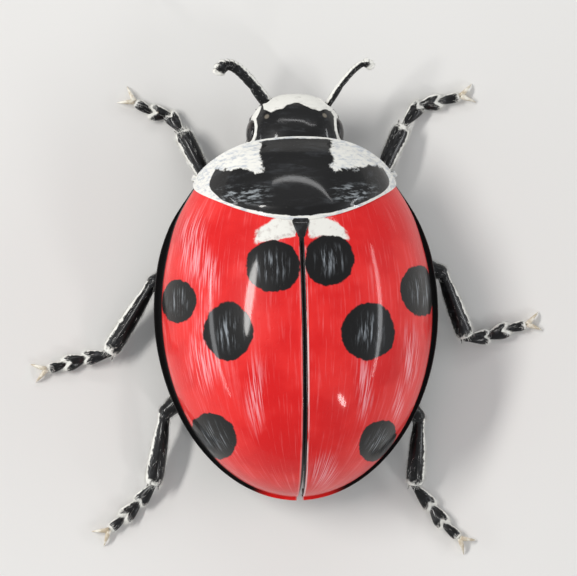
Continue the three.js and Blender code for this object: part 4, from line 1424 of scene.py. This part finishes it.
def throat_block():
    """The throat: a full ball kept under the shield, with its hollows and keels."""
    bm = new_limb()
    bmesh.ops.create_uvsphere(bm, u_segments=112, v_segments=80, radius=1)
    grain, unwrap = limb_marks(bm)
    front_y = box_of("throat")[1].y
    for vert in bm.verts:
        unit = vert.co.copy()
        full = squared(unit.x, unit.y, THROAT_FULLNESS)
        place = THROAT_CENTRE + THROAT_RADII * Vector((unit.x * full, unit.y * full, unit.z))
        place.y = min(place.y, front_y - 0.62 * abs(unit.x) ** 1.6)
        roof = back_height(place.x, place.y, SHIELD_HALF_WIDTH, SHIELD_HALF_LENGTH) - THROAT_UNDER_SHIELD
        place.z = min(place.z, roof)
        if place.z < UNDERSIDE_TOP:
            place.z += THROAT_HIP_HOLLOW * hip_hollow(from_hip(place, THROAT_HIPS))
            place.z -= KEEL_HEIGHT * bell(abs(place.x), KEEL_APART, 0.025) * ease(2.95 - place.y, 0, 0.3)
        vert[grain] = BELLY_HAIR_LIE
        vert[unwrap] = Vector((0.5 + unit.x / 2, 0.5 + unit.y / 2, 0))
        vert.co = place
    return bm


throat_piece = settle("throat_block", throat_block(), trunk_finish, "underside", "throat")

# Side plates: a cream three-cornered plate on each side of the middle thorax, in front of the
# middle leg, the only pale mark on the underside. Each is a thin scale lying on the belt.
PLATE_WALL = 0.03
PLATE_RISE = 0.025
PLATE_INNER = math.radians(47)
PLATE_OUTER = math.radians(84)


def side_plate(side, low_y, high_y):
    """One side plate: a grid laid on the belt, narrowed to a blunt point at its inner end."""
    bm = bmesh.new()
    bmesh.ops.create_grid(bm, x_segments=30, y_segments=18, size=1)
    for vert in bm.verts:
        out = (vert.co.x + 1) / 2
        angle = PLATE_INNER + (PLATE_OUTER - PLATE_INNER) * out
        half = (high_y - low_y) / 2 * (0.3 + 0.7 * out ** 0.7)
        vert.co = body_place(side * angle, (high_y + low_y) / 2 + vert.co.y * half, 1.0, PLATE_RISE)
    face_along(bm, Vector((side, 0, -1)))
    thicken(bm, PLATE_WALL)
    round_corners(bm, 55, 0.01, 2)
    return bm


plate_finish = cream_shell("side_plate_shell")
for name, side in SIDES.items():
    low, high = box_of(f"side_plate_{name}")
    bm = side_plate(side, low.y, high.y)
    settle(f"{name}_breast_plate", bm, plate_finish, "pale_shell", f"side_plate_{name}")

# Bristles: short pale hairs on the legs, thick and golden under the toes, and sparser and finer
# on the belly and the feelers. Each grows from a pit in the shell and lies towards its end.
HAIR_PATCH = 0.003
HAIR_SEED = 7
HAIR_SWAY = 0.16
HAIR_BEND = 0.5
HAIR_ROOT = 0.008
PATCH_MARGIN = 0.04
PATCH_ROOM = 0.92
HAIR_BANDS = 5
LEG_HAIR = ((0.66, 0.65, 0.61, 1), (0.88, 0.88, 0.85, 1))
PAD_HAIR = ((0.60, 0.50, 0.34, 1), (0.80, 0.74, 0.60, 1))
BELLY_HAIR = ((0.40, 0.35, 0.27, 1), (0.62, 0.57, 0.46, 1))


def hair_shape():
    """One hair a unit long: a three-sided spike with a bend halfway."""
    bm = bmesh.new()
    bmesh.ops.create_cone(bm, cap_ends=True, segments=3, radius1=0.5, radius2=0.03, depth=1)
    bmesh.ops.translate(bm, vec=(0, 0, 0.5), verts=bm.verts)
    cut_lengthwise(bm, 1)
    face_outwards(bm)
    unwrap = bm.loops.layers.uv.new("OFBake")
    for face in bm.faces:
        for loop in face.loops:
            loop[unwrap].uv = (loop.vert.co.x * HAIR_PATCH, (loop.vert.co.z - 0.5) * HAIR_PATCH)
    mesh = bpy.data.meshes.new("hair_shape")
    bm.to_mesh(mesh)
    bm.free()
    return mesh


def hair_soil(hosts, keep):
    """The triangles of some pieces that hairs may grow from, and how large each is.

    They go in the order of their places, so that each run sows the same hairs.
    """
    areas = []
    soil = []
    for host_number, host in enumerate(hosts):
        mesh = host.data
        grain = mesh.attributes["grain"].data
        unwrap = mesh.attributes["unwrap"].data
        triangles = []
        for face in mesh.polygons:
            ring = [(tuple(mesh.vertices[index].co), index) for index in face.vertices]
            start = ring.index(min(ring))
            ring = ring[start:] + ring[:start]
            triangles += [(ring[0], second, third) for second, third in zip(ring[1:], ring[2:])]
        for triangle in sorted(triangles):
            corners = [Vector(place) / MM for place, _ in triangle]
            upright = (corners[1] - corners[0]).cross(corners[2] - corners[0])
            normal = upright.normalized()
            marks = [unwrap[index].vector for _, index in triangle]
            if keep(sum(corners, Vector()) / 3, normal, marks[0].x):
                areas.append(upright.length)
                soil.append((corners, normal, Vector(grain[triangle[0][1]].vector), marks, host_number))
    return areas, soil


def bristles(name, hosts, count, length, girth, lift, keep, finish, seed, slot="limb_shell"):
    """Sows hairs over some finished pieces, as many to each triangle as its area earns."""
    draw = random.Random(HAIR_SEED + seed)
    areas, soil = hair_soil(hosts, keep)
    shape = hair_shape()
    bm = bmesh.new()
    unwrap = bm.loops.layers.uv.new("OFBake")
    for corners, normal, grain, marks, host_number in draw.choices(soil, weights=areas, k=count):
        first, second = sorted((draw.random(), draw.random()))
        shares = (first, second - first, 1 - second)
        root = sum((corner * share for corner, share in zip(corners, shares)), Vector())
        mark = sum((Vector(at) * share for at, share in zip(marks, shares)), Vector())
        lie = grain - normal * grain.dot(normal)
        lie += normal * lift * draw.uniform(0.6, 1.5) + Vector([draw.gauss(0, HAIR_SWAY) for _ in range(3)])
        lie.normalize()
        side = lie.cross(normal).normalized()
        turn = Matrix((side, lie.cross(side), lie)).transposed().to_4x4()
        reach = length * draw.uniform(0.65, 1.25)
        size = Matrix.Diagonal((girth, girth, reach, 1))
        made = len(bm.verts)
        made_faces = len(bm.faces)
        bm.from_mesh(shape)
        bm.verts.ensure_lookup_table()
        bm.faces.ensure_lookup_table()
        for vert in bm.verts[made:]:
            share = vert.co.z
            rise = HAIR_BEND * reach * share * (1 - share) - HAIR_ROOT
            vert.co = root + turn @ (size @ vert.co) + normal * rise
            vert.co.z = max(0, vert.co.z)
        across = (host_number + PATCH_MARGIN + PATCH_ROOM * mark.y) / len(hosts)
        along = PATCH_MARGIN + PATCH_ROOM * min(1, max(0, (mark.x + mark.z) / HAIR_BANDS))
        for face in bm.faces[made_faces:]:
            for loop in face.loops:
                loop[unwrap].uv += Vector((across, along))
    bpy.data.meshes.remove(shape)
    settle(name, bm, finish, slot)


def hair_horn(name, colour, tip):
    """Clear pale horn, a little deeper in colour in some hairs than in others."""
    finish, place = new_finish(name, 0.35, 0.2, 0.2)
    return dressed(finish, blend(cloudy(place, 8.0, 2.0).ramp(0.35, 0.65), colour, tip))


def anywhere(place, normal, share):
    """Every part of the skin."""
    return True


def edges(place, normal, share):
    """The front and rear edges of a limb."""
    return abs(normal.z) < 0.35 and share > 0.08


def front_side(place, normal, share):
    """The side that faces forwards."""
    return normal.y > 0.3


def toe_ends(place, normal, share):
    """The upper front end of each toe."""
    return share > 0.7 and normal.z > -0.2


def sole(place, normal, share):
    """The underside of the toes."""
    return normal.z < -0.8


def belly(place, normal, share):
    """The bare underside."""
    return normal.z < -0.1 and place.z < RIM_HEIGHT


leg_hair = hair_horn("leg_hair_horn", *LEG_HAIR)
pad_hair = hair_horn("pad_hair_horn", *PAD_HAIR)
for number, (leg, (femur, tibia, tarsus)) in enumerate(leg_pieces.items()):
    bristles(f"{leg}_fringe", [femur, tibia], 800, 0.13, 0.006, 0.22, edges, leg_hair, number)
    bristles(f"{leg}_down", [femur, tibia, tarsus], 260, 0.12, 0.004, 0.15, anywhere, leg_hair, number + 10)
    bristles(f"{leg}_toe_tufts", [tarsus], 320, 0.10, 0.006, 0.25, toe_ends, leg_hair, number + 20)
    bristles(f"{leg}_pad", [tarsus], 500, 0.05, 0.007, 0.9, sole, pad_hair, number + 30)
for number, (name, pieces) in enumerate(feeler_pieces.items()):
    bristles(f"{name}_feeler_down", pieces, 300, 0.055, 0.0035, 0.3, anywhere, leg_hair, number + 40)
    bristles(f"{name}_feeler_fringe", pieces, 450, 0.05, 0.004, 0.2, front_side, leg_hair, number + 45)
belly_hair = hair_horn("belly_hair_horn", *BELLY_HAIR)
hosts = [*trunk_pieces, throat_piece]
bristles("belly_hairs", hosts, 2200, 0.10, 0.007, 0.3, belly, belly_hair, 50, "underside")
